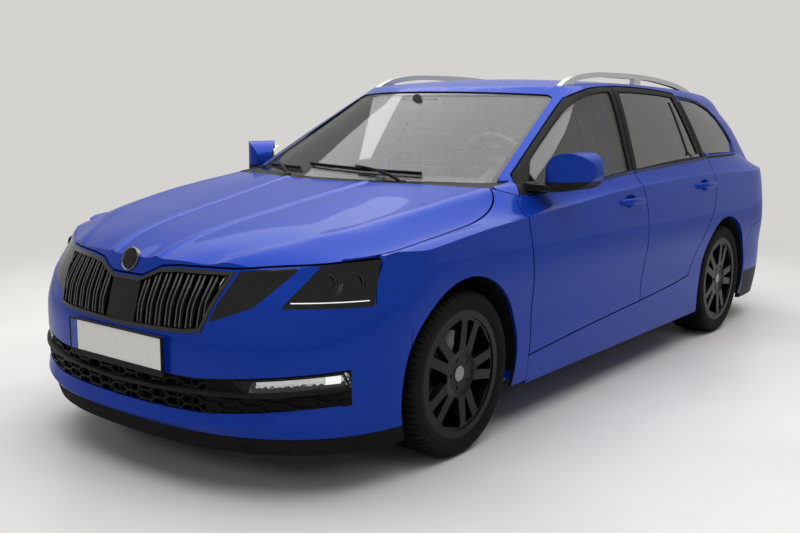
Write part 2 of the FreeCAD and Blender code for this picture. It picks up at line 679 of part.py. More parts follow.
def build_front_bumper():
    space = prism_x(BUMPER_REAR + [(FRONT_END - 50, 806), (FRONT_END - 50, 150)], -1000, 1000)
    shell = layer(0.0, BUMPER_THICKNESS, space.common(below_bonnet(DOOR_GAP)))
    holes = [prism_y(both_sides(GRILLE), FRONT_END - 60, -1900), prism_y(both_sides(INTAKE), FRONT_END - 60, -1850)]
    for items in (LAMP_INNER, LAMP_OUTER):
        holes += both(lamp_region(items))
    holes += both(wheel_opening(FRONT_AXLE, ARCH_RADIUS))
    pad = block(-PLATE_PAD_HALF, PLATE_PAD_HALF, FRONT_END, FRONT_END + BUMPER_THICKNESS - 1, 406, 526)
    screws = [Part.makeCylinder(PLATE_HOLE_RADIUS, 80, V(x, FRONT_END - 10, 460), V(0, 1, 0))
              for x in (-PLATE_HOLE_SPACING / 2, PLATE_HOLE_SPACING / 2)]
    return largest(shell.cut(holes).fuse(pad).cut(screws))


def build_wing():
    """Left front wing."""
    space = prism_x([(-972 - DOOR_GAP, SILL_HEIGHT + 14), (-972 - DOOR_GAP, 384), (-977 - DOOR_GAP, 563),
                     (-991 - DOOR_GAP, 748), (-1004 - DOOR_GAP, 850), (-1003 - DOOR_GAP, 880),
                     (-952 - DOOR_GAP, 946), (-1100, 990), (-1300, 1000), (-1950, 900), (-1850, 806 + SEAM),
                     (-1905 + SEAM, 720), (-1925 + SEAM, 655 - SEAM), (-1776 + SEAM, 560 - SEAM),
                     (-1776 + SEAM, 150), (-1400, SILL_HEIGHT + 14)], 500, 1000)
    shell = layer(0.0, SKIN, space)
    cowl = prism_z([COWL_FRONT, SCREEN_FOOT], 850, 1100)
    shell = shell.cut([bonnet_region(DOOR_GAP), lamp_region(LAMP_OUTER), wheel_opening(FRONT_AXLE, ARCH_RADIUS),
                       cowl, screen_region(), prism_x(FRONT_DOOR, 300, 1000, DOOR_GAP)])
    return largest(shell)


# Doors

def door_region(door, grow=0.0):
    """Space of a left door, which leaves a strip for the pillar beside the windscreen."""
    region = prism_x(door, 300, 1000, grow).cut(block(290, ROOF_HALF_WIDTH, -1500, 1500, 1250, SIDE_TOP))
    if door is FRONT_DOOR:
        region = region.cut(prism_y(SCREEN, -1400, -200, PILLAR_STRIP - grow))
    return region


def window_region(window):
    """Opening of a left door's window."""
    region = prism_x(window, 300, 1000)
    if window is FRONT_WINDOW:
        region = region.cut(prism_y(SCREEN, -1400, -200, PILLAR_STRIP + WINDOW_FRAME))
    return region


def build_door(door, window):
    """Left door: outer layer to the shut line and inner box behind it, with the window cut through."""
    outer = layer(0.0, SKIN, door_region(door))
    inner = layer(SKIN, DOOR_DEPTH, door_region(door, -BOX_INSET))
    return largest(outer.fuse(inner).cut(window_region(window)))


def build_door_glass(window):
    return largest(layer(GLASS_OUT, GLASS_OUT + GLASS_THICKNESS, window_region(window)))


# Body sides

def ring_round(door, outer, inner):
    """The strip between two insets of a door's outline."""
    return prism_x(door, 300, 1000, -outer).cut(prism_x(door, 290, 1010, -inner))



def shifted(depth, move):
    """The body at an inset, moved a little, for what ends just short of a door or lid."""
    copy = volume(depth).copy()
    copy.translate(move)
    return copy


def door_fittings(door, hinges_z, stops_y):
    """Hinge brackets ahead of a left door's inner box and stops behind its rear edge."""
    ahead = ring_round(door, BOX_INSET - HINGE_AHEAD, BOX_INSET - SEAT_GAP)
    front_half = stops_y[0] - 60
    brackets = [ahead.common(block(HINGE_X[0], HINGE_X[1], -1100, front_half, z0, z1)) for z0, z1 in hinges_z]
    strip = ring_round(door, BOX_INSET + 2, APERTURE_INSET - 2)
    reach = shifted(DOOR_DEPTH, V(-SEAT_GAP, 0, 0)).cut(volume(PILLAR_IN))
    stops = [strip.common(block(700, 1000, stops_y[0], stops_y[1], z0, z1)).common(reach) for z0, z1 in STOPS_Z]
    return brackets + stops


def build_side_frame():
    """Left body side: A, B, C and D pillars, sill, cant rail and quarter panel."""
    space = block(300, 1000, FRAME_FRONT_Y, REAR_END + 20, SILL_HEIGHT, SIDE_TOP)
    wall = layer(0.0, PILLAR_IN, space)
    wing = prism_x([(-1500, 100), (-972 - DOOR_GAP + SEAM, 100), (-972 - DOOR_GAP + SEAM, 384),
                    (-977 - DOOR_GAP + SEAM, 563), (-991 - DOOR_GAP + SEAM, 748), (-1004 - DOOR_GAP + SEAM, 850),
                    (-1003 - DOOR_GAP + SEAM, 880), (-952 - DOOR_GAP + SEAM, 946 + SEAM),
                    (-1100, 990 + SEAM), (-1500, 1010)], 0, 1000)
    pockets = [door_region(door, DOOR_GAP).cut(volume(PILLAR_OUT)) for door in (FRONT_DOOR, REAR_DOOR)]
    pockets.append(tailgate_region(DOOR_GAP).cut(volume(PILLAR_OUT)))
    pockets.append(tail_lamp_region().cut(volume(DOOR_DEPTH)))
    pockets.append(wing.cut(volume(PILLAR_OUT)))
    apertures = [door_region(door, -APERTURE_INSET) for door in (FRONT_DOOR, REAR_DOOR)]
    apertures.append(tailgate_region(-APERTURE_INSET))
    wall = wall.cut(pockets + apertures)
    wall = wall.cut([prism_x(QUARTER_WINDOW, 300, 1000), wheel_opening(REAR_AXLE, ARCH_RADIUS),
                     block(300, DASH_HALF + 10, -1100, -560, 100, 960),
                     block(300, DASH_HALF + 10, -1100, -930, 950, 1010),
                     block(0, BACK_PANEL_HALF + 15, 1900, REAR_END + 50, 500, 700),
                 prism_z([COWL_FRONT, SCREEN_FOOT], 850, 1100)])
    wall = wall.cut([prism_y(SCREEN, -1400, 0), block(0, ROOF_HALF_WIDTH, -1400, 2400, 1250, SIDE_TOP)])
    wall = largest(wall.cut(prism_x(REAR_BUMPER_EDGE + [(2500, 642), (2500, 100)], 0, 1000)))
    fittings = door_fittings(FRONT_DOOR, FRONT_HINGES_Z, FRONT_STOPS_Y)
    fittings += door_fittings(REAR_DOOR, REAR_HINGES_Z, REAR_STOPS_Y)
    return largest(wall.fuse(fittings))


def build_roof():
    """Roof panel, with the brackets that the tailgate hangs from."""
    top = layer(0.0, ROOF_THICKNESS, block(-ROOF_HALF_WIDTH, ROOF_HALF_WIDTH, -600, 1950, 1250, SIDE_TOP))
    top = largest(top.cut([prism_y(SCREEN, -1400, 0), tailgate_region(DOOR_GAP)]))
    edge = TAILGATE_TOP + BOX_INSET - SEAT_GAP
    side = [(1845, 1330), (1845, 1384), (1880, 1382), (1880, 1362), (edge, 1358), (edge, 1330)]
    return largest(top.fuse([prism_x(side, x - 30, x + 30) for x in (-280, 280)]))


def build_windscreen():
    return largest(layer(GLASS_OUT, GLASS_OUT + GLASS_THICKNESS, screen_region()))


def build_tailgate():
    """Outer layer to the shut line and inner frame behind it, with the rear window cut through."""
    outer = layer(0.0, SKIN, tailgate_region())
    inner = layer(SKIN, DOOR_DEPTH, tailgate_region(-BOX_INSET))
    window = prism_y(REAR_GLASS, 1600, 2500)
    return largest(outer.fuse(inner).cut([window] + both(tail_lamp_region())))


def build_rear_bumper():
    space = prism_x([(y + SEAM, z - SEAM) for y, z in REAR_BUMPER_EDGE] + [(2500, 642 - SEAM), (2500, 150)],
                    -1000, 1000)
    return largest(layer(0.0, BUMPER_THICKNESS, space).cut(both(wheel_opening(REAR_AXLE, ARCH_RADIUS))))


# Front end: grilles and lamps, which follow the nose

GRILLE_FRAME = 13.0
GRILLE_PROUD = 3.0
GRILLE_DEPTH = 40.0
GRILLE_BACK = 12.0
SLATS_PER_SIDE = 8
SLAT_PITCH = 46.0
SLAT_WIDTH = 9.0
SLAT_GAP = 19.0
SLAT_RECESS = 6.0
SENSOR_HALF_WIDTH = 78.0
INTAKE_RIM = 8.0
RIB_PITCH = 60.0
RIB_WIDTH = 8.0
RIBS_PER_SIDE = 7
FRONT_REGION_BACK = -1850.0


def behind_nose():
    """Everything behind the front surface of the lower body, between two of its levels."""
    rows = []
    for z in (200, 260, 330, 400, 470, 540, 600, 650, 720, 800):
        half = lower_loop(z, 0.0)[:CORNER_STEPS]
        rows.append([V(-p.x, p.y, p.z) for p in reversed(half[1:])] + half)
    surface, _ = surface_through(rows)
    return surface.toShape().extrude(V(0, 600, 0))


def set_back(depth):
    """The nose moved rearwards by a depth."""
    key = ("set back", depth)
    if key not in volume_cache:
        moved = behind_nose()
        moved.translate(V(0, depth, 0))
        volume_cache[key] = moved
    return volume_cache[key]


def nose_layer(front, back, region):
    """The part of a region between two set-backs of the nose."""
    return region.common(set_back(front)).cut(set_back(back))


def front_space(items, grow=0.0):
    return prism_y(items, FRONT_END - 60, FRONT_REGION_BACK, grow)


def nose_y(x, z, depth):
    """Station of the lower body's front surface, moved back by a depth."""
    half = HALF - table_value(SIDE_SETBACK, z)
    front = FRONT_END + table_value(NOSE_SETBACK, z)
    squareness = table_value(NOSE_SQUARENESS, z)
    return NOSE_START + (front - NOSE_START) * (1 - (abs(x) / half) ** squareness) ** (1 / squareness) + depth


def build_upper_grille():
    """Frame, sensor panel and upright slats in pairs, on a closed back."""
    inner = front_space(both_sides(GRILLE), -GRILLE_FRAME)
    whole = nose_layer(-GRILLE_PROUD, GRILLE_DEPTH + GRILLE_BACK, front_space(both_sides(GRILLE)))
    slots = []
    for k in range(SLATS_PER_SIDE):
        first = SENSOR_HALF_WIDTH + SLAT_PITCH * k
        for x0, x1 in ((first, first + SLAT_GAP), (first + SLAT_GAP + SLAT_WIDTH, first + SLAT_PITCH - SLAT_WIDTH)):
            side = [(FRONT_END - 50, 500), (FRONT_END - 50, 800)]
            side += [(nose_y(x0, z, GRILLE_DEPTH), z) for z in (800, 700, 600, 500)]
            slots += both(prism_x(side, x0, x1).common(inner))
    return largest(whole.cut([inner.cut(set_back(SLAT_RECESS))] + slots))


def build_lower_grille():
    """Ribs of the lower intake with its level middle bar and the seats of the fog lamps."""
    inner = front_space(both_sides(INTAKE), -INTAKE_RIM).cut(block(-900, 900, -2400, -1800, 336, 352))
    whole = nose_layer(SLAT_RECESS, GRILLE_DEPTH, front_space(both_sides(INTAKE)))
    pockets = []
    for k in range(RIBS_PER_SIDE):
        x0, x1 = RIB_PITCH * k + RIB_WIDTH / 2, RIB_PITCH * (k + 1) - RIB_WIDTH / 2
        plan = [(x1, FRONT_END - 50), (x0, FRONT_END - 50)]
        plan += [(x, nose_y(x, 350, GRILLE_DEPTH - GRILLE_BACK)) for x in (x0, x1)]
        pockets += both(prism_z(plan, 200, 500).common(inner))
    return largest(whole.cut(pockets + both(front_space(FOG_LAMP))))


def build_grilles():
    return Part.makeCompound([build_upper_grille(), build_lower_grille()])


def build_front_lamps():
    lamps = []
    for items in (LAMP_INNER, LAMP_OUTER):
        lamps += both(largest(layer(0.0, DOOR_DEPTH, lamp_region(items))))
    lamps += both(largest(nose_layer(4.0, 40.0, front_space(FOG_LAMP))))
    return Part.makeCompound(lamps)


# Cowl, windscreen foot and what stands on the roof

COWL_FRONT = [(-735, -1074 + DOOR_GAP), (-560, -1141 + DOOR_GAP), (-300, -1222 + DOOR_GAP), (0, -1262 + DOOR_GAP),
              (300, -1222 + DOOR_GAP), (560, -1141 + DOOR_GAP), (735, -1074 + DOOR_GAP)]


def screen_foot(x):
    """Where the windscreen meets the deck, seen in plan."""
    share = abs(x) / SCREEN_CORNER_X
    return SCREEN_BASE_Y + (SCREEN_CORNER_Y - SCREEN_BASE_Y) * share ** 2.1


SCREEN_FOOT = [(x, screen_foot(x)) for x in (735, 600, 450, 250, 0, -250, -450, -600, -735)]


def screen_region():
    """Opening of the windscreen, behind its foot."""
    behind = prism_z([[(-x, y) for x, y in SCREEN_FOOT], (735, 0), (-735, 0)], 900, 1500)
    return prism_y(SCREEN, -1400, 0).common(behind)


def build_cowl():
    space = prism_z([COWL_FRONT, SCREEN_FOOT], 850, 1100)
    return largest(layer(GLASS_OUT, SKIN, space))


RAIL_OUT = 570.0
RAIL_WIDTH = 27.0
RAIL_TOP = [(-215, RAIL_HEIGHT - 87), (-120, RAIL_HEIGHT - 44), (0, RAIL_HEIGHT - 18), (300, RAIL_HEIGHT),
            (739, RAIL_HEIGHT - 2), (1100, RAIL_HEIGHT - 26), (1321, RAIL_HEIGHT - 58), (1450, RAIL_HEIGHT - 92)]
RAIL_BAR = 25.0
RAIL_GAPS = [(-70, 610), (690, 1290)]


def build_roof_rails():
    """A raised rail on each side, on three feet."""
    rail = prism_x([RAIL_TOP, (1450, 1330), (-215, 1330)], RAIL_OUT - RAIL_WIDTH, RAIL_OUT)
    for y0, y1 in RAIL_GAPS:
        stations = [y0 + (y1 - y0) * i / 4 for i in range(5)]
        below = [(y, table_value(RAIL_TOP, y) - RAIL_BAR) for y in stations]
        rail = rail.cut(prism_x([below, (y1, 1330), (y0, 1330)], 500, 620))
    return Part.makeCompound(both(largest(rail.cut(volume(0.0)))))


# Wheels, round their own centres, with +X outboard

HUB_RADIUS = 33.0
HUB_FACE = 60.0              # inner face of the wheel's disc, outboard of its middle plane
DISC_RADIUS = 156.0
FLANGE_RADIUS = RIM_RADIUS + 15.0
BARREL_IN = 216.0
SPOKE_FACE = 99.0
CENTRE_FACE = 91.0
SPOKE_PAIRS = 5
BOLT_CIRCLE = 112.0
BOLT_RADIUS = 8.0


def turned(profile):
    """Solid turned about the X axis from an (x, r) outline."""
    return Part.Face(outline(profile)).revolve(V(0, 0, 0), V(1, 0, 0), 360)


def build_tyre():
    """Tyre, filled down to its bead seats."""
    half = TYRE_WIDTH / 2
    bead = RIM_WIDTH / 2 - 8
    side = [(bead, RIM_RADIUS), (half, 275), (half - 8, 307), (half - 26, TYRE_RADIUS)]
    return turned(side + [(-x, r) for x, r in reversed(side)])


def build_rim():
    """Rim barrel, five pairs of spokes, hub and brake disc."""
    half = TYRE_WIDTH / 2
    bead = RIM_WIDTH / 2 - 8
    lip = bead + (half - bead) * (FLANGE_RADIUS - RIM_RADIUS) / (275 - RIM_RADIUS)
    edge = lip + 4
    seat = [(edge, BARREL_IN), (edge, FLANGE_RADIUS), (lip, FLANGE_RADIUS), (bead, RIM_RADIUS)]
    barrel = turned(seat + [(-x, r) for x, r in reversed(seat)])
    dish = turned([(HUB_FACE, 0), (HUB_FACE, 78), (HUB_FACE + 10, 78), (HUB_FACE + 10, BARREL_IN),
                   (SPOKE_FACE, BARREL_IN), (SPOKE_FACE, 92), (CENTRE_FACE, 70), (CENTRE_FACE, 0)])
    cutters = []
    for k in range(SPOKE_PAIRS):
        turn = 360.0 / SPOKE_PAIRS * k
        between = prism_x([(204, 24, 6), (204, -24, 6), (104, -5), (104, 5)], 0, 200)
        window = prism_x([(202, 72, 14), (202, -72, 14), (90, -15, 10), (90, 15, 10)], 0, 200)
        for shape, angle in ((between, turn), (window, turn + 180.0 / SPOKE_PAIRS)):
            shape.rotate(V(0, 0, 0), V(1, 0, 0), angle)
            cutters.append(shape)
        angle = math.radians(turn + 180.0 / SPOKE_PAIRS)
        cutters.append(cylinder_x(BOLT_RADIUS, 70, 120, BOLT_CIRCLE / 2 * math.cos(angle),
                                  BOLT_CIRCLE / 2 * math.sin(angle)))
    hub = cylinder_x(78, 20, HUB_FACE + 1, 0, 0)
    disc = cylinder_x(DISC_RADIUS, -4, 22, 0, 0).cut(cylinder_x(66, -10, 14, 0, 0))
    wheel = barrel.fuse([dish.cut(cutters), hub, disc])
    return largest(wheel.cut(cylinder_x(HUB_RADIUS, -10, 84, 0, 0)))


def at_wheel(shape, side, axle_y):
    placed = shape if side > 0 else mirrored(shape)
    placed = placed.copy()
    placed.translate(V(side * WHEEL_X, axle_y, TYRE_RADIUS))
    return placed


# Steering knuckles with their struts; the steering axis leans inwards towards the top

STEER_LOW = V(720, FRONT_AXLE, 190)
STEER_AXIS = (V(585, FRONT_AXLE, 800) - STEER_LOW).normalize()
STRUT_TOP = 600.0            # along the steering axis from the lower ball joint
STRUT_RADIUS = 22.0
SPINDLE_RADIUS = HUB_RADIUS - HUB_CLEARANCE
SPINDLE_END = 82.0


def along_strut(distance):
    return STEER_LOW + STEER_AXIS * distance


def build_knuckle():
    """Left knuckle: ball boss, upright, wheel spindle, brake caliper and strut with its spring."""
    y, z = FRONT_AXLE, TYRE_RADIUS
    boss = rod(along_strut(SEAT_GAP), along_strut(44), 18)
    upright = prism_y([(WHEEL_X - 28, z - 60), (WHEEL_X - 28, z + 60), (692, 440, 10), (645, 440, 10),
                       (678, 330), (696, 212, 8), (738, 212, 8)], y - 40, y + 40)
    spindle = cylinder_x(SPINDLE_RADIUS, WHEEL_X - 60, WHEEL_X + SPINDLE_END, y, z)
    strut = rod(along_strut(200), along_strut(STRUT_TOP - SEAT_GAP), STRUT_RADIUS)
    plate = rod(along_strut(470), along_strut(480), 56)
    spring = rod(along_strut(480), along_strut(STRUT_TOP - 12), 46)
    caliper = block(WHEEL_X - 34, WHEEL_X + 40, y + 96, y + 172, z - 60, z + 60)
    caliper = caliper.cut(cylinder_x(DISC_RADIUS + 7, WHEEL_X - 10, WHEEL_X + 28, y, z))
    bridge = block(WHEEL_X - 34, WHEEL_X - 14, y + 30, y + 110, z - 26, z + 26)
    return largest(fused(upright, boss, spindle, strut, plate, spring, caliper, bridge))


# Underbody

HOUSE_RADIUS = 384.0
HOUSE_WALL = 8.0
FRONT_HOUSE_IN = 470.0
REAR_HOUSE_IN = 612.0
HOUSE_LOW = 250.0
FLOOR_LOW = 186.0
TOE_BOARD_Y = -1020.0
HEEL_Y = 430.0
SEAT_PAN_Z = 330.0
LOAD_FLOOR_Z = 600.0
LOAD_FLOOR_Y = 930.0
BACK_PANEL_Y = 2205.0
RAIL_IN = 400.0
RAIL_LOW = 420.0
RAIL_TOP_Z = 520.0
SCUTTLE_Z = 935.0
WELL_RADIUS = 330.0
WELL_LOW = 330.0


def front_wheelhouse():
    """Left front wheelhouse with the tower that the strut stands in."""
    drum = cylinder_x(HOUSE_RADIUS + HOUSE_WALL, FRONT_HOUSE_IN, HALF, FRONT_AXLE, TYRE_RADIUS)
    tower = rod(along_strut(420), along_strut(STRUT_TOP + 10), 88)
    space = cylinder_x(HOUSE_RADIUS, FRONT_HOUSE_IN + HOUSE_WALL, HALF + 10, FRONT_AXLE, TYRE_RADIUS)
    well = rod(along_strut(380), along_strut(STRUT_TOP), 80)
    below = block(0, 1000, -2000, -900, -200, HOUSE_LOW)
    house = drum.fuse(tower).cut([space, well, below]).common(lower_volume(SKIN))
    behind_bumper = block(0, 1000, -1900, -1770, 0, 700).cut(lower_volume(BUMPER_THICKNESS))
    return largest(house.cut(behind_bumper))


def rear_wheelhouse():
    drum = cylinder_x(HOUSE_RADIUS + HOUSE_WALL, REAR_HOUSE_IN, HALF, REAR_AXLE, TYRE_RADIUS)
    space = cylinder_x(HOUSE_RADIUS, REAR_HOUSE_IN + HOUSE_WALL, HALF + 10, REAR_AXLE, TYRE_RADIUS)
    below = block(0, 1000, 700, 1800, -200, HOUSE_LOW)
    carrier = block(0, 1000, REAR_AXLE - 62, REAR_AXLE + 62, 0, 382)
    return drum.cut([space, below, carrier]).common(lower_volume(PILLAR_IN))


def build_floor_pan():
    """Floor with tunnel, bulkhead, seat pan, load floor, wheelhouses and front and rear rails."""
    t = FLOOR_THICKNESS
    z = FLOOR_LOW
    under = [(-128, z + 132, 30), (128, z + 132, 30), (148, z - 5), (-148, z - 5)]
    over = [(-150, z + 150, 40), (150, z + 150, 40), (170, z), (-170, z)]
    hollow = prism_y(under, TOE_BOARD_Y - 50, HEEL_Y + 5)
    slabs = [block(-800, 800, TOE_BOARD_Y, HEEL_Y, z, z + t), prism_y(over, TOE_BOARD_Y, HEEL_Y),
             block(-800, 800, TOE_BOARD_Y - t, TOE_BOARD_Y, z, 790), block(-800, 800, HEEL_Y - t, HEEL_Y, z, SEAT_PAN_Z)]
    lower = fused(*slabs).cut(hollow).common(lower_volume(PILLAR_IN))
    pan = block(-700, 700, HEEL_Y - t, LOAD_FLOOR_Y, SEAT_PAN_Z - t, SEAT_PAN_Z)
    pan = pan.cut(both(cylinder_x(HOUSE_RADIUS, REAR_HOUSE_IN + HOUSE_WALL, HALF, REAR_AXLE, TYRE_RADIUS)))
    riser = block(-620, 620, LOAD_FLOOR_Y - t, LOAD_FLOOR_Y, SEAT_PAN_Z - t, LOAD_FLOOR_Z)
    load = block(-620, 620, LOAD_FLOOR_Y - t, BACK_PANEL_Y, LOAD_FLOOR_Z - t, LOAD_FLOOR_Z)
    well = Part.makeCylinder(WELL_RADIUS, LOAD_FLOOR_Z - WELL_LOW, V(0, 1820, WELL_LOW))
    well = well.cut(Part.makeCylinder(WELL_RADIUS - t, LOAD_FLOOR_Z - WELL_LOW - 2 * t, V(0, 1820, WELL_LOW + t)))
    back = block(-BACK_PANEL_HALF, BACK_PANEL_HALF, BACK_PANEL_Y, BACK_PANEL_Y + t, SEAT_PAN_Z, 670)
    bulkhead = block(-700, 700, TOE_BOARD_Y - t, TOE_BOARD_Y, 780, SCUTTLE_Z)
    scuttle = block(-740, 740, -1250, TOE_BOARD_Y, SCUTTLE_Z, SCUTTLE_Z + t).common(lower_volume(BUMPER_THICKNESS))
    upstand = block(-240, 240, -1244, -1232, SCUTTLE_Z, 1010).common(lower_volume(SKIN))
    beam = block(-474, 474, -2190, -2150, RAIL_LOW, RAIL_TOP_Z)
    slam = block(-385, 385, -2150, -2095, 690, 740)
    pieces = [pan, riser, load, well, back, bulkhead, scuttle, upstand, beam, slam]
    rests = lower_volume(SKIN).copy()
    rests.translate(V(0, 0, -SEAT_GAP))
    for side in (1, -1):
        def across(x0, x1, y0, y1, z0, z1, side=side):
            return block(min(side * x0, side * x1), max(side * x0, side * x1), y0, y1, z0, z1)
        rail = across(RAIL_IN, FRONT_HOUSE_IN + 4, -2330, TOE_BOARD_Y, RAIL_LOW, RAIL_TOP_Z)
        rear_rail = across(470, 530, LOAD_FLOOR_Y - t, 2330, 500, LOAD_FLOOR_Z - 10)
        leg = across(300, 330, -2175, -2145, RAIL_TOP_Z, 695)
        buffer = Part.makeCylinder(14, 150, V(side * 360, -2118, 735)).common(rests)
        hinge = across(640, 680, -1110, -1080, SCUTTLE_Z, 1000).common(rests)
        pieces += [rail.common(lower_volume(BUMPER_THICKNESS)), rear_rail.common(lower_volume(BUMPER_THICKNESS)),
                   leg, buffer, hinge]
        stop = across(380, 410, BACK_PANEL_Y, 2300, 664, 690)
        against = lower_volume(DOOR_DEPTH).copy()
        against.translate(V(0, -SEAT_GAP, 0))
        pieces.append(stop.common(against))
    pieces += both(front_wheelhouse()) + both(rear_wheelhouse())
    return lower.fuse(pieces)


def build_engine():
    return block(-300, 330, -1980, -1250, 246, 800)


def build_front_subframe():
    """Cradle with posts up to the rails, and lower arms out to the ball joints."""
    pieces = []
    for side in (1, -1):
        def across(x0, x1, y0, y1, z0, z1, side=side):
            return block(min(side * x0, side * x1), max(side * x0, side * x1), y0, y1, z0, z1)
        arm = prism_z([(side * 360, -1540), (side * 360, -1200), (side * 640, -1412), (side * 748, -1420),
                       (side * 748, -1471), (side * 640, -1490)], 150, 176)
        ball = rod(along_strut(-36), along_strut(0), 24)
        pieces += [arm, ball if side > 0 else mirrored(ball), across(330, 372, -1540, -1200, 150, 246),
                   across(350, 460, -1290, -1210, 196, 246), across(RAIL_IN, 460, -1290, -1210, 240, RAIL_LOW)]
    return block(-360, 360, -1560, -1160, 196, 246).fuse(pieces)


def build_rear_axle():
    """Cross beam, trailing arms with their brackets, hub carriers and spindles."""
    y, z = REAR_AXLE, TYRE_RADIUS
    pieces = []
    for side in (1, -1):
        def across(x0, x1, y0, y1, z0, z1, side=side):
            return block(min(side * x0, side * x1), max(side * x0, side * x1), y0, y1, z0, z1)
        arm = prism_x([(y - 560, 240, 10), (y - 560, 290, 10), (y - 340, 296), (y + 60, 368, 20), (y + 60, 270, 20),
                       (y - 150, 236)], side * 540, side * 590)
        pin = cylinder_x(SPINDLE_RADIUS, 640, WHEEL_X + SPINDLE_END, y, z)
        pieces += [arm, across(545, 585, y - 550, y - 490, 270, SEAT_PAN_Z - FLOOR_THICKNESS),
                   across(560, 690, y - 50, y + 50, z - 45, z + 45), pin if side > 0 else mirrored(pin)]
    return cylinder_x(34, -560, 560, y - 160, 270).fuse(pieces)


def build_exhaust():
    """Pipe through the tunnel, silencer under the load floor and tailpipe."""
    front = Part.makeCylinder(25, 2790, V(-90, -1140, 205), V(0, 1, 0))
    silencer = prism_y([(-380, 190, 45), (-380, 322, 45), (-50, 322, 45), (-50, 190, 45)], 1640, 1980)
    tail = Part.makeCylinder(25, 250, V(-320, 1970, 230), V(0, 1, 0))
    hangers = [block(-260, -230, y, y + 20, 310, WELL_LOW) for y in (1720, 1900)]
    return fused(front, silencer, tail, *hangers)


# Cabin

STEERING_CENTRE = V(370, -420, 1010)
STEERING_TILT = math.radians(25)
COLUMN_AXIS = V(0, math.cos(STEERING_TILT), math.sin(STEERING_TILT))
WHEEL_RING = 185.0
PIN_RADIUS = 12.0
SEAT_X = 370.0


def on_column(distance):
    return STEERING_CENTRE + COLUMN_AXIS * distance


def build_dashboard():
    """Dashboard with its instrument hood, centre console and steering column."""
    pad = prism_x([(TOE_BOARD_Y, 600), (TOE_BOARD_Y, 925), (-900, 952, 40), (-700, 945, 30), (-640, 905, 20),
                   (-660, 780, 30), (-760, 640, 30), (-860, 600)], -DASH_HALF, DASH_HALF)
    hood = prism_x([(-830, 930), (-800, 985, 20), (-650, 985, 20), (-625, 900)], SEAT_X - 170, SEAT_X + 170)
    console = prism_x([(-880, 340), (-880, 620), (-700, 640), (-620, 560, 20), (-200, 520, 30), (-160, 340)], -95, 95)
    column = rod(on_column(-330), on_column(-34), 36)
    pin = rod(on_column(-40), on_column(-6), PIN_RADIUS - HUB_CLEARANCE)
    return largest(fused(pad, hood, console, column, pin))


def build_steering_wheel():
    """Ring, three spokes and hub."""
    ring = Part.Face(outline([(WHEEL_RING - 14, -6), (WHEEL_RING - 6, -14), (WHEEL_RING + 8, -12),
                              (WHEEL_RING + 14, 0), (WHEEL_RING + 8, 12), (WHEEL_RING - 6, 14)]))
    ring = ring.revolve(V(0, 0, 0), V(0, 1, 0), 360)
    hub = Part.makeCylinder(68, 44, V(0, -30, 0), V(0, 1, 0))
    spokes = [block(-WHEEL_RING + 4, -50, -16, 0, -26, 14), block(50, WHEEL_RING - 4, -16, 0, -26, 14),
              block(-18, 18, -16, 0, -WHEEL_RING + 4, -50)]
    wheel = ring.fuse([hub] + spokes).cut(Part.makeCylinder(PIN_RADIUS, 26, V(0, -31, 0), V(0, 1, 0)))
    wheel.rotate(V(0, 0, 0), V(1, 0, 0), math.degrees(STEERING_TILT))
    wheel.translate(STEERING_CENTRE)
    return largest(wheel)


def build_seats():
    """Two front seats and the rear bench."""
    floor_top = FLOOR_LOW + FLOOR_THICKNESS
    seats = []
    for side in (1, -1):
        x = side * SEAT_X
        body = prism_x([(-590, 352), (-600, 440, 30), (-560, 478, 30), (-130, 455), (-20, 960, 40), (40, 975, 30),
                        (75, 930, 30), (-20, 400), (-60, 352)], x - 245, x + 245)
        head = prism_x([(0, 1000, 20), (30, 1165, 30), (95, 1165, 30), (75, 1000, 20)], x - 125, x + 125)
        neck = prism_x([(15, 940), (30, 1010), (50, 1010), (40, 940)], x - 60, x + 60)
        rails = block(x - 180, x + 180, -540, -80, floor_top, 360)
        seats.append(largest(fused(body, head, neck, rails)))
    bench = prism_x([(HEEL_Y + 10, SEAT_PAN_Z), (HEEL_Y, 440, 30), (HEEL_Y + 40, 470, 30), (815, 452), (945, 1000, 30),
                     (1005, 1012, 20), (1030, 975, 20), (915, LOAD_FLOOR_Z + 6), (905, LOAD_FLOOR_Z),
                     (905, SEAT_PAN_Z)], -600, 600)
    heads = []
    for x in (-370, 370):
        heads.append(prism_x([(950, 1030), (965, 1120, 20), (1015, 1120, 20), (1010, 1030)], x - 125, x + 125))
        heads.append(prism_x([(955, 995), (965, 1040), (985, 1040), (975, 995)], x - 50, x + 50))
    seats.append(largest(bench.fuse(heads)))
    return Part.makeCompound(seats)


# Doors' mirrors

SAIL_REAR_Y = -800.0


def sail_region():
    """Front corner of the front window, which the mirror's foot fills."""
    return window_region(FRONT_WINDOW).common(block(300, 1000, -1000, SAIL_REAR_Y, 900, 1200))


def build_mirror():
    """Left mirror: foot in the window's front corner, arm and housing."""
    foot = layer(GLASS_OUT, SKIN, sail_region())
    arm = prism_z([(806, -872), (868, -862), (915, -800), (915, -735), (868, -735), (812, -806)], 966, 990)
    seen_ahead = [[(846, 1030), (858, 1068), (890, 1104), (930, 1120), (970, 1112), (1002, 1082), (1011, 1045),
                   (1004, 1005), (975, 975), (925, 963), (876, 966), (852, 990), (846, 1030)]]
    seen_above = [[(842, -790), (856, -826), (890, -832), (950, -792), (995, -722), (1013, -650), (1006, -606),
                   (970, -600), (905, -650), (856, -712), (842, -790)]]
    head = prism_y(seen_ahead, -860, -580).common(prism_z(seen_above, 940, 1140))
    return largest(foot.fuse([arm, head]))


def build_front_glass():
    glass = layer(GLASS_OUT, GLASS_OUT + GLASS_THICKNESS, window_region(FRONT_WINDOW))
    return largest(glass.cut(block(300, 1000, -1000, SAIL_REAR_Y, 900, 1200)))


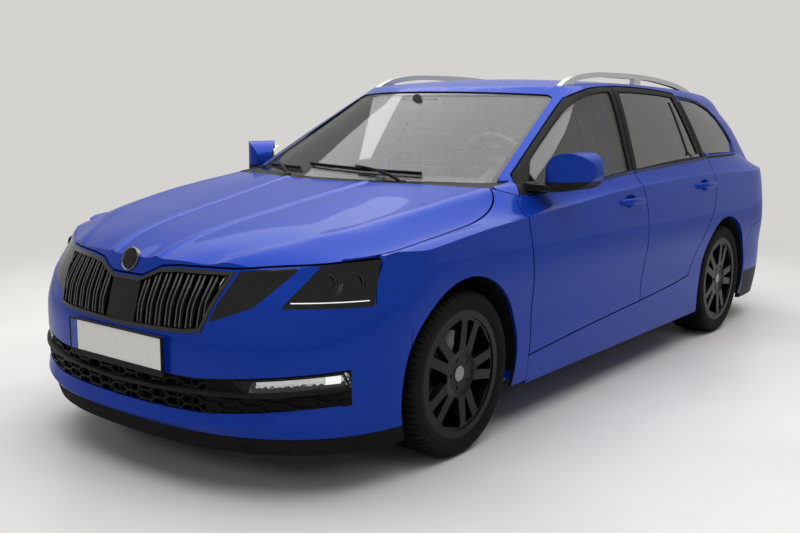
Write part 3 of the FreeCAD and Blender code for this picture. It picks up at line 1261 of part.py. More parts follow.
def build_quarter_window():
    return largest(layer(GLASS_OUT, GLASS_OUT + GLASS_THICKNESS, prism_x(QUARTER_WINDOW, 300, 1000)))


def build_tailgate_glass():
    return largest(layer(GLASS_OUT, GLASS_OUT + GLASS_THICKNESS, prism_y(REAR_GLASS, 1700, 2500)))


def build_tail_lamps():
    return Part.makeCompound(both(largest(layer(0.0, DOOR_DEPTH, tail_lamp_region().cut(tailgate_region(DOOR_GAP))))))


def build_tailgate_lamps():
    return Part.makeCompound(both(largest(layer(0.0, DOOR_DEPTH, tail_lamp_region().common(tailgate_region())))))


# All pieces. What has a left and a right one is built once and mirrored

SINGLE = {
    "floor_pan": build_floor_pan,
    "roof_panel": build_roof,
    "front_bumper": build_front_bumper,
    "rear_bumper": build_rear_bumper,
    "grilles": build_grilles,
    "front_lamps": build_front_lamps,
    "tail_lamps": build_tail_lamps,
    "windscreen": build_windscreen,
    "cowl": build_cowl,
    "roof_rails": build_roof_rails,
    "front_wings": lambda: Part.makeCompound(both(build_wing())),
    "quarter_windows": lambda: Part.makeCompound(both(build_quarter_window())),
    "bonnet": build_bonnet,
    "tailgate": build_tailgate,
    "tailgate_glass": build_tailgate_glass,
    "tailgate_lamps": build_tailgate_lamps,
    "dashboard": build_dashboard,
    "steering_wheel": build_steering_wheel,
    "seats": build_seats,
    "engine": build_engine,
    "front_subframe": build_front_subframe,
    "rear_axle": build_rear_axle,
    "exhaust": build_exhaust,
}
HANDED = {
    "side_frame": build_side_frame,
    "front_door": lambda: build_door(FRONT_DOOR, FRONT_WINDOW),
    "rear_door": lambda: build_door(REAR_DOOR, REAR_WINDOW),
    "front_door_glass": build_front_glass,
    "rear_door_glass": lambda: build_door_glass(REAR_WINDOW),
    "mirror": build_mirror,
    "knuckle": build_knuckle,
}
WHEEL_PIECES = {"tyre": build_tyre, "wheel": build_rim}


def pieces():
    """Each node's name with its shape."""
    for name, build in SINGLE.items():
        yield name, build()
    for name, build in HANDED.items():
        left = build()
        yield name + "_left", left
        yield name + "_right", mirrored(left)
    for name, build in WHEEL_PIECES.items():
        shape = build()
        for end, axle_y in (("front", FRONT_AXLE), ("rear", REAR_AXLE)):
            yield f"{name}_{end}_left", at_wheel(shape, 1, axle_y)
            yield f"{name}_{end}_right", at_wheel(shape, -1, axle_y)


if __name__ == "__main__":
    os.makedirs("parts", exist_ok=True)
    for node, solid in pieces():
        solid.exportStep(f"parts/{node}.step")
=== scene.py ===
"""Station wagon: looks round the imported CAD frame. Metres; +Z up, the front faces -Y, the left side is +X."""

import json
import math
from functools import partial

import bmesh
import bpy
from mathutils import Matrix, Vector
from mathutils.bvhtree import BVHTree


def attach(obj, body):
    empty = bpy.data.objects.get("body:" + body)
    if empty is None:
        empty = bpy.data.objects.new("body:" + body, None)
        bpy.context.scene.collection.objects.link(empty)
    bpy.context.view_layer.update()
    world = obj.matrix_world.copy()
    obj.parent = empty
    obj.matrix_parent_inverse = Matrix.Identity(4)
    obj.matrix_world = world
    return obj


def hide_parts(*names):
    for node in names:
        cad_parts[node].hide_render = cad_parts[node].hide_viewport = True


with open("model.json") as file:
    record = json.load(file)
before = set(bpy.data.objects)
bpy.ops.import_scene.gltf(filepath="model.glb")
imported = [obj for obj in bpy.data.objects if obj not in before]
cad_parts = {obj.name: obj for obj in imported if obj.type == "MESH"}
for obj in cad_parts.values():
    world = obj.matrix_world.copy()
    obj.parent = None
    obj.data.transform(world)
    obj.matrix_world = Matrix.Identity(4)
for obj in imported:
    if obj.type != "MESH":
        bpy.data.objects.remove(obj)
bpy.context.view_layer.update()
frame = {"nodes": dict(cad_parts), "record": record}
NODES = frame["nodes"]
BODY_OF = {node: body for body, nodes in frame["record"]["behaviour"]["bodies"].items() for node in nodes}
SLOT_OF = {part["node"]: part["material_slot"] for part in frame["record"]["subparts"]}
SIDES = (("left", 1), ("right", -1))
SHELL = "body_shell"

# Places shared with the part
FRONT_AXLE, REAR_AXLE = -1.4455, 1.2405
WHEEL_X, WHEEL_Z = 0.772, 0.3185
NOSE = -2.3335
ARCH_RADIUS, ARCH_LIP = 0.372, 0.882
CHIN_LOW, REAR_PAINT_LOW = 0.212, 0.318
WINDOW_LOW = 1.04
BELT = [(-0.917, 0.951), (0.093, 1.003), (1.052, 1.037), (1.755, 1.095)]

# Studio
BACKDROP, BACKDROP_STRENGTH, AMBIENT_STRENGTH = (0.90, 0.88, 0.85, 1), 0.74, 0.17
FLOOR_RADIUS, FLOOR_FADE = 14, (2.6, 6.5)


# Materials

def feed(tree, node, inputs):
    """Sets a node's inputs to values or links them to outputs of other nodes."""
    for key, value in inputs.items():
        if isinstance(value, bpy.types.NodeSocket):
            tree.links.new(value, node.inputs[key])
        else:
            node.inputs[key].default_value = value


def add_node(tree, kind, inputs=None, **settings):
    """New shader node with its inputs and settings."""
    node = tree.nodes.new("ShaderNode" + kind)
    for key, value in settings.items():
        setattr(node, key, value)
    feed(tree, node, inputs or {})
    return node


def map_range(tree, value, low, high):
    """Value from 0 to 1 spread over low to high."""
    return add_node(tree, "MapRange", {"Value": value, "To Min": low, "To Max": high}).outputs["Result"]


def relief(tree, height, strength, distance):
    """Normals of a bump."""
    bump = add_node(tree, "Bump", {"Strength": strength, "Distance": distance, "Height": height})
    return bump.outputs["Normal"]


def see_through(tree, alpha):
    """Alpha of glass: lowest seen straight on, higher at a slant."""
    return map_range(tree, add_node(tree, "LayerWeight", {"Blend": 0.08}).outputs["Facing"], alpha, 1.0)


def material(name, colour, rough=0.5, metal=0.0, coat=0.0, spec=0.5, vary=0.12, vary_scale=40.0, bump=0.0,
             bump_scale=300.0, alpha=1.0, emit=0.0, ior=1.5, voronoi=False):
    """Material whose colour and roughness vary by a noise, with a fine bump."""
    m = bpy.data.materials.new(name)
    m.use_nodes = True
    tree = m.node_tree
    coords = add_node(tree, "TexCoord").outputs["Object"]
    noise = add_node(tree, "TexNoise", {"Scale": vary_scale, "Detail": 3.0, "Vector": coords}).outputs["Fac"]
    ramp = add_node(tree, "ValToRGB", {"Fac": noise})
    dark, pale = ramp.color_ramp.elements
    dark.position, pale.position = 0.35, 0.65
    dark.color = (*(c * (1 - vary) for c in colour), 1)
    pale.color = (*(min(1.0, c * (1 + vary)) for c in colour), 1)
    values = {"Base Color": ramp.outputs["Color"], "Metallic": metal, "Specular IOR Level": spec, "IOR": ior,
              "Roughness": map_range(tree, noise, rough * 0.9, min(1.0, rough * 1.1)), "Coat Weight": coat}
    if bump:
        kind, height = ("TexVoronoi", "Distance") if voronoi else ("TexNoise", "Fac")
        grain = add_node(tree, kind, {"Scale": bump_scale, "Vector": coords}).outputs[height]
        values["Normal"] = relief(tree, grain, bump, 0.001)
    if emit:
        values.update({"Emission Color": (*colour, 1), "Emission Strength": emit})
    if alpha < 1.0:
        values["Alpha"] = see_through(tree, alpha)
    feed(tree, tree.nodes["Principled BSDF"], values)
    return m


def fabric(name, colour):
    """Woven cloth: two crossed waves for the weave, with sheen."""
    m = material(name, colour, 0.92, vary=0.25, vary_scale=260.0)
    tree = m.node_tree
    coords = tree.nodes["Texture Coordinate"].outputs["Object"]
    waves = []
    for turn in (0.0, math.pi / 2):
        mapping = add_node(tree, "Mapping", {"Rotation": (0.5, 0.4, turn), "Vector": coords})
        wave = {"Scale": 130.0, "Distortion": 0.6, "Vector": mapping.outputs["Vector"]}
        waves.append(add_node(tree, "TexWave", wave).outputs["Fac"])
    weave = add_node(tree, "Math", {0: waves[0], 1: waves[1]}).outputs[0]
    values = {"Normal": relief(tree, weave, 0.5, 0.0008), "Sheen Weight": 0.35}
    feed(tree, tree.nodes["Principled BSDF"], values)
    return m


PAINT = material("blue_paint", (0.003, 0.036, 0.34), 0.34, metal=0.35, coat=0.20, spec=0.03, vary=0.10,
                 vary_scale=900.0, bump=0.02, bump_scale=1500.0)
GLOSS = material("gloss_black", (0.005, 0.005, 0.006), 0.10, coat=0.05, spec=0.15, vary=0.2)
SMOKE = material("smoked_lens", (0.008, 0.008, 0.009), 0.05, coat=0.15, spec=0.25, vary=0.1, alpha=0.78)
BLACK = material("black_plastic", (0.010, 0.010, 0.011), spec=0.10, vary=0.2, bump=0.25, bump_scale=900.0)
DARK = material("dark_coating", (0.008, 0.008, 0.009), 0.8, spec=0.08, vary=0.3, bump=0.4, bump_scale=200.0)
CHROME = material("dark_chrome", (0.045, 0.045, 0.048), 0.25, metal=0.9, vary=0.08)
SATIN = material("satin_metal", (0.52, 0.53, 0.55), 0.26, metal=1.0, vary=0.05, vary_scale=120.0)
SLAT = material("slat_gloss", (0.13, 0.13, 0.14), 0.18, metal=0.9, vary=0.08)
CAP = material("wheel_cap", (0.22, 0.22, 0.225), 0.30, metal=0.9, vary=0.05)
BRIGHT = material("reflector", (0.82, 0.83, 0.84), 0.10, metal=1.0, vary=0.06, bump=0.8, bump_scale=90.0,
                  voronoi=True)
ALLOY = material("black_alloy", (0.006, 0.006, 0.007), 0.28, coat=0.12, spec=0.08, vary=0.15)
STEEL = material("disc_steel", (0.20, 0.20, 0.20), 0.38, metal=1.0, vary=0.2, vary_scale=60.0)
RUBBER = material("tyre_rubber", (0.007, 0.007, 0.008), 0.75, spec=0.08, vary=0.25, vary_scale=25.0, bump=0.3,
                  bump_scale=500.0)
GLASS = material("clear_glass", (0.030, 0.042, 0.038), 0.02, spec=1.0, vary=0.05, alpha=0.06, ior=2.6)
DARK_GLASS = material("dark_glass", (0.008, 0.009, 0.010), 0.03, spec=1.0, vary=0.05, alpha=0.86, ior=1.7)
CLEAR_LENS = material("clear_lens", (0.30, 0.31, 0.32), 0.03, spec=0.9, vary=0.03, alpha=0.18)
FRIT = material("glass_edge", (0.006, 0.006, 0.007), 0.12, spec=0.6, vary=0.1)
FRAME = material("window_frame", (0.005, 0.005, 0.006), 0.45, spec=0.06, vary=0.15)
RED = material("red_lens", (0.32, 0.004, 0.006), 0.08, coat=1.0, vary=0.15, bump=0.15, bump_scale=160.0,
               voronoi=True)
CABIN = material("cabin_plastic", (0.045, 0.045, 0.048), 0.6, vary=0.2, bump=0.35, bump_scale=700.0)
LINING = material("roof_lining", (0.34, 0.33, 0.31), 0.9, vary=0.06, bump=0.5, bump_scale=1200.0)
CARPET = material("carpet", (0.020, 0.020, 0.021), 0.95, vary=0.4, vary_scale=600.0, bump=1.0,
                  bump_scale=1400.0)
WHITE = material("plate_white", (0.80, 0.80, 0.78), 0.35, vary=0.02, bump=0.1, bump_scale=600.0)
BAND = material("plate_blue", (0.01, 0.06, 0.35), 0.35, vary=0.05)
CAST = material("cast_metal", (0.20, 0.20, 0.21), 0.55, metal=0.8, vary=0.2, vary_scale=30.0, bump=0.6,
                bump_scale=120.0)
CHASSIS = material("chassis_black", (0.020, 0.020, 0.021), vary=0.3, vary_scale=20.0, bump=0.2)
PIPE = material("exhaust_steel", (0.36, 0.34, 0.31), 0.35, metal=1.0, vary=0.25, vary_scale=12.0)
MIRROR = material("mirror_glass", (0.86, 0.87, 0.88), 0.03, metal=1.0, vary=0.01)
LIGHT_RED = material("rear_light_band", (0.50, 0.015, 0.015), 0.25, coat=0.8, vary=0.1)
LIGHT_LINE = material("lamp_line", (0.85, 0.86, 0.88), 0.2, vary=0.02, emit=0.5)
CLOTH = fabric("seat_cloth", (0.026, 0.026, 0.028))
BOLSTER = fabric("seat_bolster", (0.012, 0.012, 0.013))


# Objects

def link_object(name, mesh):
    obj = bpy.data.objects.new(name, mesh)
    bpy.context.scene.collection.objects.link(obj)
    return obj


def add_object(name, mesh, body, *materials, slot):
    """Piece that rides on a body."""
    obj = link_object(name, mesh)
    for m in materials:
        mesh.materials.append(m)
    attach(obj, body)
    return obj


def soften(obj, angle):
    """Smooth shading with edges sharper than an angle kept."""
    mesh = obj.data
    for p in mesh.polygons:
        p.use_smooth = True
    mesh.set_sharp_from_angle(angle=math.radians(angle))
    weigh = obj.modifiers.new("normals", "WEIGHTED_NORMAL")
    weigh.keep_sharp = True
    weigh.weight = 70


def new_mesh(name, points, faces):
    mesh = bpy.data.meshes.new(name)
    mesh.from_pydata([tuple(p) for p in points], [], faces)
    return mesh


def weld(mesh, reach):
    """Joins points that lie together and turns the faces outwards."""
    bm = bmesh.new()
    bm.from_mesh(mesh)
    bmesh.ops.remove_doubles(bm, verts=bm.verts, dist=reach)
    bmesh.ops.recalc_face_normals(bm, faces=bm.faces)
    bm.to_mesh(mesh)
    bm.free()


def make(name, points, faces, body, mat, slot, smooth=40.0, bevel=0.0):
    """Piece of one finish, with its edges bevelled and its faces smoothed where asked."""
    mesh = new_mesh(name, points, faces)
    weld(mesh, 1e-5)
    obj = add_object(name, mesh, body, mat, slot=slot)
    if bevel:
        mod = obj.modifiers.new("bevel", "BEVEL")
        mod.width, mod.segments, mod.limit_method = bevel, 2, "ANGLE"
        mod.harden_normals = False
    if smooth:
        soften(obj, smooth)
    return obj


def welded(node):
    """A node's mesh with its shared points joined."""
    bm = bmesh.new()
    bm.from_mesh(NODES[node].data)
    bmesh.ops.remove_doubles(bm, verts=bm.verts, dist=2e-5)
    return bm


def plain_mesh(name, bm):
    """Mesh of the points and faces alone."""
    bm.verts.index_update()
    return new_mesh(name, [v.co for v in bm.verts], [[v.index for v in f.verts] for f in bm.faces])


def cut_bowl(bm, centre, size):
    """The mesh with an ellipsoid cut out of it."""
    whole = link_object("whole", plain_mesh("whole", bm))
    bm.free()
    ball = bmesh.new()
    bmesh.ops.create_uvsphere(ball, u_segments=40, v_segments=24, radius=1.0)
    ball.transform(Matrix.Translation(centre) @ Matrix.Diagonal((*size, 1)))
    mesh = bpy.data.meshes.new("cutter")
    ball.to_mesh(mesh)
    ball.free()
    cutter = link_object("cutter", mesh)
    mod = whole.modifiers.new("cut", "BOOLEAN")
    mod.operation, mod.object, mod.solver = "DIFFERENCE", cutter, "EXACT"
    result = bpy.data.meshes.new_from_object(whole.evaluated_get(bpy.context.evaluated_depsgraph_get()))
    for obj in (cutter, whole):
        bpy.data.objects.remove(obj)
    bm = bmesh.new()
    bm.from_mesh(result)
    return bm


def split(bm, place, normal, **options):
    return bmesh.ops.bisect_plane(bm, geom=bm.verts[:] + bm.edges[:] + bm.faces[:], dist=1e-6,
                                  plane_co=place, plane_no=normal, **options)


def dressed(node, materials, pick=None, cuts=(), angle=32.0, bowl=None):
    """Smooth-shaded copy of a node that stands for it, cut along planes where its finish changes."""
    bm = welded(node)
    for place, normal in cuts:
        split(bm, place, normal)
    if bowl:
        bm = cut_bowl(bm, *bowl)
    bm.normal_update()
    mesh = plain_mesh(node + "_looks", bm)
    for polygon, face in zip(mesh.polygons, bm.faces):
        polygon.material_index = pick(face.calc_center_median(), face.normal) if pick else 0
    bm.free()
    obj = add_object(node + ".looks", mesh, BODY_OF[node], *materials, slot=SLOT_OF[node])
    soften(obj, angle)
    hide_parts(node)


# Faces and outlines of built meshes

BOX_FACES = [[0, 1, 3, 2], [4, 6, 7, 5], [0, 4, 5, 1], [2, 3, 7, 6], [0, 2, 6, 4], [1, 5, 7, 3]]


def box_points(xs, ys, zs):
    """Corners in the order that BOX_FACES has."""
    return [Vector((x, y, z)) for x in xs for y in ys for z in zs]


def bar_faces(count, size):
    """Faces of a closed bar of count rows of points, each row an outline of one size."""
    faces = []
    for i in range(count - 1):
        for k in range(size):
            a, b = size * i + k, size * i + (k + 1) % size
            faces.append([a, b, b + size, a + size])
    last = size * (count - 1)
    return faces + [list(range(size))[::-1], [last + k for k in range(size)]]


def ring_faces(count, size):
    """Faces of a closed ring of count rows of points, each row an outline of one size."""
    faces = []
    for k in range(count):
        for i in range(size):
            a, b = size * k + i, size * k + (i + 1) % size
            c = size * ((k + 1) % count)
            faces.append([a, b, c + (i + 1) % size, c + i])
    return faces


def slab_faces(columns, rows):
    """Faces of a slab of two layers of points, each layer a grid."""
    row = rows + 1
    layer = (columns + 1) * row
    faces = []
    for i in range(columns):
        for j in range(rows):
            a = i * row + j
            quad = [a, a + 1, a + row + 1, a + row]
            faces += [quad, [layer + k for k in reversed(quad)]]
    rim = list(range(row)) + [i * row + rows for i in range(1, columns + 1)]
    rim += [columns * row + j for j in range(rows - 1, -1, -1)] + [i * row for i in range(columns - 1, 0, -1)]
    return faces + [[a, b, b + layer, a + layer] for a, b in zip(rim, rim[1:] + rim[:1])]


def spread(start, end, steps):
    """Even values from start to end, both of them included."""
    return [start + (end - start) * i / steps for i in range(steps + 1)]


def line_between(start, end, steps):
    """Points of a straight line, both ends included."""
    return list(zip(*(spread(a, b, steps) for a, b in zip(start, end))))


def along(line, steps):
    """Points along a bent line, in even steps on each stretch and without its last point."""
    return [(xa + (xb - xa) * i / steps, za + (zb - za) * i / steps)
            for (xa, za), (xb, zb) in zip(line, line[1:]) for i in range(steps)]


def between(table, t):
    for (a, u), (b, v) in zip(table, table[1:]):
        if t <= b:
            return u + (v - u) * (t - a) / (b - a)
    return table[-1][1]


def smooth_line(points, steps=6):
    """Catmull-Rom points through a row of points."""
    points = [Vector(p) for p in points]
    out = []
    for i in range(len(points) - 1):
        p0, p1, p2, p3 = points[max(i - 1, 0)], points[i], points[i + 1], points[min(i + 2, len(points) - 1)]
        for s in range(steps):
            t = s / steps
            out.append(0.5 * (2 * p1 + (p2 - p0) * t + (2 * p0 - 5 * p1 + 4 * p2 - p3) * t * t
                              + (3 * p1 - p0 - 3 * p2 + p3) * t ** 3))
    return out + [points[-1]]


def inside(polygon, x, y):
    hit = False
    for (x0, y0), (x1, y1) in zip(polygon, polygon[1:] + polygon[:1]):
        if (y0 > y) != (y1 > y) and x < (x1 - x0) * (y - y0) / (y1 - y0) + x0:
            hit = not hit
    return hit


def edge_distance(polygon, x, z):
    best = math.inf
    for (x0, z0), (x1, z1) in zip(polygon, polygon[1:] + polygon[:1]):
        dx, dz = x1 - x0, z1 - z0
        t = max(0.0, min(1.0, ((x - x0) * dx + (z - z0) * dz) / math.hypot(dx, dz) ** 2))
        best = min(best, math.hypot(x - x0 - t * dx, z - z0 - t * dz))
    return best


def plane_through(a, b, direction):
    """Cutting plane through two points that also holds a direction."""
    a, b = Vector(a), Vector(b)
    return a, (b - a).cross(Vector(direction)).normalized()


# Rays to the CAD surfaces

TREES = {}


def surface(node, origin, direction):
    """Where a ray meets a node, with the normal there, or None."""
    if node not in TREES:
        data = NODES[node].data
        TREES[node] = BVHTree.FromPolygons([v.co.copy() for v in data.vertices],
                                           [p.vertices[:] for p in data.polygons])
    place, normal, _, _ = TREES[node].ray_cast(Vector(origin), Vector(direction).normalized())
    if place is None:
        return None
    if normal.dot(Vector(direction)) > 0:
        normal = -normal
    return place, normal


def from_front(node, x, z):
    return surface(node, (x, -3.0, z), (0, 1, 0))


def from_rear(node, x, z):
    return surface(node, (x, 3.0, z), (0, -1, 0))


def from_side(node, s, y, z):
    return surface(node, (s * 1.3, y, z), (-s, 0, 0))


# Built pieces

def strip(name, spine, normals, width, height, body, mat, slot, sink=0.002, taper=1.0):
    """Bar of a trapezoid section laid on a surface along a row of points."""
    points = []
    count = len(spine)
    section = ((-0.5, -sink / height), (0.5, -sink / height), (0.5 * taper, 1.0), (-0.5 * taper, 1.0))
    for i, (p, n) in enumerate(zip(spine, normals)):
        ahead = spine[min(i + 1, count - 1)] - spine[max(i - 1, 0)]
        side = ahead.cross(n).normalized()
        n = n.normalized()
        points += [p + side * (across * width) + n * (up * height) for across, up in section]
    make(name, points, bar_faces(count, 4), body, mat, slot)


def trim(name, cast, places, width, height, body, mat, slot, lift=0.0, **shape):
    """Strip laid where rays meet a surface; places that miss it are left out."""
    hits = [hit for hit in (cast(*place) for place in places) if hit]
    strip(name, [place + normal * lift for place, normal in hits], [normal for _, normal in hits],
          width, height, body, mat, slot, **shape)


def tube(name, spine, radius, body, mat, slot, sides=10, flat=1.0):
    """Round bar along a row of points; radius is a number or one for each point."""
    points = []
    count = len(spine)
    for i, p in enumerate(spine):
        ahead = (spine[min(i + 1, count - 1)] - spine[max(i - 1, 0)]).normalized()
        across = ahead.cross(Vector((0, 0, 1)))
        if across.length < 0.1:
            across = ahead.cross(Vector((0, 1, 0)))
        across.normalize()
        rise = across.cross(ahead).normalized()
        r = radius[i] if isinstance(radius, list) else radius
        for k in range(sides):
            a = 2 * math.pi * k / sides
            points.append(p + across * (r * math.cos(a)) + rise * (r * flat * math.sin(a)))
    make(name, points, bar_faces(count, sides), body, mat, slot)


def turned(name, profile, centre, axis, body, mat, slot, steps=64, smooth=35.0):
    """Closed solid of an (along, radius) outline turned about an axis."""
    axis = Vector(axis).normalized()
    side = axis.orthogonal().normalized()
    other = axis.cross(side)
    points = []
    for k in range(steps):
        a = 2 * math.pi * k / steps
        out = side * math.cos(a) + other * math.sin(a)
        points += [Vector(centre) + axis * distance + out * r for distance, r in profile]
    make(name, points, ring_faces(steps, len(profile)), body, mat, slot, smooth=smooth)


# Panels: copies of the CAD shapes with their finishes. A pick gives a face its material by its middle c and
# its normal n.

LIP_CUTS = [((s * ARCH_LIP, 0, 0), (1, 0, 0)) for _, s in SIDES]
DOORS = {
    "front_door_": {"ends": (-0.917, 0.093), "bowl": (-0.062, 0.866), "glass": GLASS,
                    "handle": (-0.160, 0.070, 0.869, 0.861), "trim": (-0.900, 0.088)},
    "rear_door_": {"ends": (0.093, 1.052), "bowl": (0.895, 0.888), "glass": DARK_GLASS,
                   "handle": (0.800, 1.030, 0.891, 0.884), "trim": (0.112, 1.045)}}
BOWL_SIZE, BOWL_RISE = (0.0135, 0.064, 0.036), Vector((0, 0, 0.004))
MIRROR_ARM_X, MIRROR_FOOT_Z = 0.842, 1.002
SCREEN_TOP, SCREEN_SIDE = 1.360, ((0.686, 0.955), (0.5681, 1.352))
SCREEN_LOW_MIDDLE, SCREEN_LOW_SIDE = 0.998, 0.978


def inward(c, n):
    """Faces turned to the cabin."""
    return n.x * (1 if c.x > 0 else -1) < -0.45


def jamb(c, n):
    """Faces of the pillars over the window line that are turned along the car, not outwards or up."""
    return c.z > WINDOW_LOW and -1.0 < c.y < 1.1 and abs(n.x) < 0.45 and n.z < 0.30


def behind_glass(c, side, s):
    """Places of the pillars that show through the closed doors' glass."""
    start = c + Vector((s * 0.001, 0, 0))
    return c.z > 0.93 and any(surface(door + "glass_" + side, start, (s, 0, 0)) for door in DOORS)


def in_arch(c, n):
    """Faces of a wheel arch behind its outer lip, turned to the axle."""
    for y in (FRONT_AXLE, REAR_AXLE):
        to_axle = Vector((0, y - c.y, WHEEL_Z - c.z))
        if to_axle.length < ARCH_RADIUS + 0.03 and abs(c.x) < ARCH_LIP and n.dot(to_axle.normalized()) > 0.5:
            return True
    return False


def wing_pick(c, n):
    return 1 if inward(c, n) or in_arch(c, n) else 0


def front_bumper_pick(c, n):
    back = n.y > 0.3 and c.y > -2.33 and abs(n.x) < 0.9
    return 1 if c.z < CHIN_LOW or back or in_arch(c, n) else 0


def rear_bumper_pick(c, n):
    if in_arch(c, n):
        return 2
    return 1 if c.z < REAR_PAINT_LOW else 0


def side_frame_pick(side, s, c, n):
    """Dark arches, jambs and covered pillars; roof lining over cabin plastic inside; paint outside."""
    if in_arch(c, n) or jamb(c, n) or behind_glass(c, side, s):
        return 3
    if inward(c, n) and abs(c.x) < 0.80:
        return 2 if c.z > WINDOW_LOW else 1
    return 0


def door_pick(y0, z0, y1, z1, c, n):
    """Black frame above the window line, cabin plastic inside, paint outside."""
    if c.z > z0 + (z1 - z0) * (c.y - y0) / (y1 - y0):
        return 1
    return 2 if inward(c, n) and abs(c.x) < 0.86 else 0


def mirror_pick(c, n):
    return 1 if abs(c.x) < MIRROR_ARM_X or c.z < MIRROR_FOOT_Z or (n.y > 0.35 and n.z < 0.6) else 0


def wheel_pick(y, c, n):
    """Bare steel for the brake disc behind the spokes."""
    return 1 if abs(c.x) - WHEEL_X < 0.03 and math.hypot(c.y - y, c.z - WHEEL_Z) < 0.17 else 0


def screen_pick(c, n):
    """Black edge of the windscreen."""
    to_side = 0.706 - (c.z - 0.955) * 0.297 - abs(c.x)
    foot = SCREEN_LOW_SIDE + (SCREEN_LOW_MIDDLE - SCREEN_LOW_SIDE) * (1 - abs(c.x) / 0.7)
    return 1 if to_side < 0.020 or c.z > SCREEN_TOP or c.z < foot else 0


def dress_door(door, side, s):
    values = DOORS[door]
    y0, y1 = values["ends"]
    z0, z1 = between(BELT, y0), between(BELT, y1)
    place = from_side(door + side, s, *values["bowl"])[0]
    dressed(door + side, [PAINT, FRAME, CABIN], partial(door_pick, y0, z0, y1, z1),
            cuts=[plane_through((0, y0, z0), (0, y1, z1), (1, 0, 0))], bowl=(place + BOWL_RISE, BOWL_SIZE))
    dressed(door + "glass_" + side, [values["glass"]])


def dress_side(side, s):
    dressed("side_frame_" + side, [PAINT, CABIN, LINING, DARK], partial(side_frame_pick, side, s),
            cuts=LIP_CUTS)
    for door in DOORS:
        dress_door(door, side, s)
    dressed("mirror_" + side, [PAINT, BLACK], mirror_pick, angle=40.0,
            cuts=[((0, 0, MIRROR_FOOT_Z), (0, 0, 1)), ((s * MIRROR_ARM_X, 0, 0), (1, 0, 0))])
    dressed("knuckle_" + side, [CHASSIS])
    for end, y in (("front", FRONT_AXLE), ("rear", REAR_AXLE)):
        dressed("wheel_%s_%s" % (end, side), [ALLOY, STEEL], partial(wheel_pick, y), angle=38.0)


def dress_windscreen():
    (x0, z0), (x1, z1) = SCREEN_SIDE
    ends = [plane_through((s * x0, 0, z0), (s * x1, 0, z1), (0, 1, 0)) for _, s in SIDES]
    top = ((0, 0, SCREEN_TOP), (0, 0, 1))
    middle = (0, 0, SCREEN_LOW_MIDDLE)
    foot = [plane_through(middle, (s * 0.7, 0, SCREEN_LOW_SIDE), (0, 1, 0)) for _, s in SIDES]
    dressed("windscreen", [GLASS, FRIT], screen_pick, cuts=ends + [top] + foot)


dressed("bonnet", [PAINT, DARK], lambda c, n: 1 if n.z < -0.35 else 0, angle=24.0)
dressed("front_wings", [PAINT, DARK], wing_pick, cuts=LIP_CUTS)
dressed("front_bumper", [PAINT, DARK], front_bumper_pick, angle=28.0,
        cuts=LIP_CUTS + [((0, 0, CHIN_LOW), (0, 0, 1))])
dressed("rear_bumper", [PAINT, BLACK, DARK], rear_bumper_pick, angle=28.0,
        cuts=LIP_CUTS + [((0, 0, REAR_PAINT_LOW), (0, 0, 1))])
dressed("roof_panel", [PAINT, LINING], lambda c, n: 1 if n.z < -0.5 else 0)
for side, s in SIDES:
    dress_side(side, s)
dressed("quarter_windows", [DARK_GLASS])
dressed("tailgate", [PAINT, CABIN], lambda c, n: 1 if n.y < -0.4 and c.z < 1.36 else 0)
dressed("tailgate_glass", [DARK_GLASS])
dressed("tail_lamps", [RED])
dressed("tailgate_lamps", [RED])
dressed("roof_rails", [SATIN, BLACK], lambda c, n: 1 if n.z < -0.3 else 0)
dressed("cowl", [BLACK])
dress_windscreen()
dressed("floor_pan", [DARK, CARPET], lambda c, n: 1 if n.z > 0.5 and c.y > -1.0 and abs(c.x) < 0.7 else 0)
dressed("engine", [CAST])
dressed("front_subframe", [CHASSIS])
dressed("rear_axle", [CHASSIS])
dressed("exhaust", [PIPE])
dressed("dashboard", [CABIN])
dressed("steering_wheel", [CABIN], angle=50.0)


# Front: lenses of the lamps, grille, lower intake and chin

def outline(half):
    """Closed outline of a shape whose left half is given, in mm."""
    half = [(x / 1000, z / 1000) for x, z in half]
    return half + [(-x, z) for x, z in reversed(half[1:-1])]


GRILLE = outline([(0, 706), (70, 706), (112, 722), (160, 745), (240, 753), (457, 755), (398, 558), (330, 548),
                  (0, 540)])
INTAKE = outline([(0, 402), (380, 402), (500, 412), (830, 447), (862, 330), (700, 305), (440, 262),
                  (300, 255), (0, 250)])
FOG_EDGE, FOG_LOW, FOG_SLOPE = 0.560, 0.352, 0.35
GRILLE_FRAME = 0.0110
SLAT_START, SLAT_PITCH, SLAT_OFFSETS, SLAT_HALF = 0.078, 0.046, (0.0235, 0.0415), 0.0044
SIDE_SETBACK = [(140, 39), (200, 29), (300, 19), (400, 14), (470, 14)]
NOSE_SETBACK = [(140, 33), (200, 15), (260, 5), (330, 0), (450, 0), (530, 5)]
NOSE_HALF_WIDTH, NOSE_START, NOSE_POWER = 0.907, FRONT_AXLE - 0.205, 2.56
BAR_LINE = [(0.0, 0.343), (0.17, 0.348), (0.40, 0.355), (0.61, 0.362), (0.713, 0.373), (0.822, 0.386)]
LIP_LINE = [(0.0, 0.279), (0.41, 0.283), (0.60, 0.303), (0.71, 0.317), (0.83, 0.329)]
LIP_END, BAR_END, MESH_END, INTAKE_END = 0.80, 0.815, 0.81, 0.820
PROUD = 0.0012

# Height with the grille and headlamps above it and the intake and fog lamps below
FRONT_SPLIT = 0.5


def lamp_pick(c, n):
    """Smoked lens and gloss body of the headlamps; gloss end, clear lens and reflector of the fog lamps."""
    if c.z < FRONT_SPLIT:
        if n.y < -0.1:
            return 1 if abs(c.x) < FOG_EDGE + (c.z - FOG_LOW) * FOG_SLOPE else 2
        return 3
    return 0 if n.y < -0.12 and abs(n.z) < 0.85 else 1


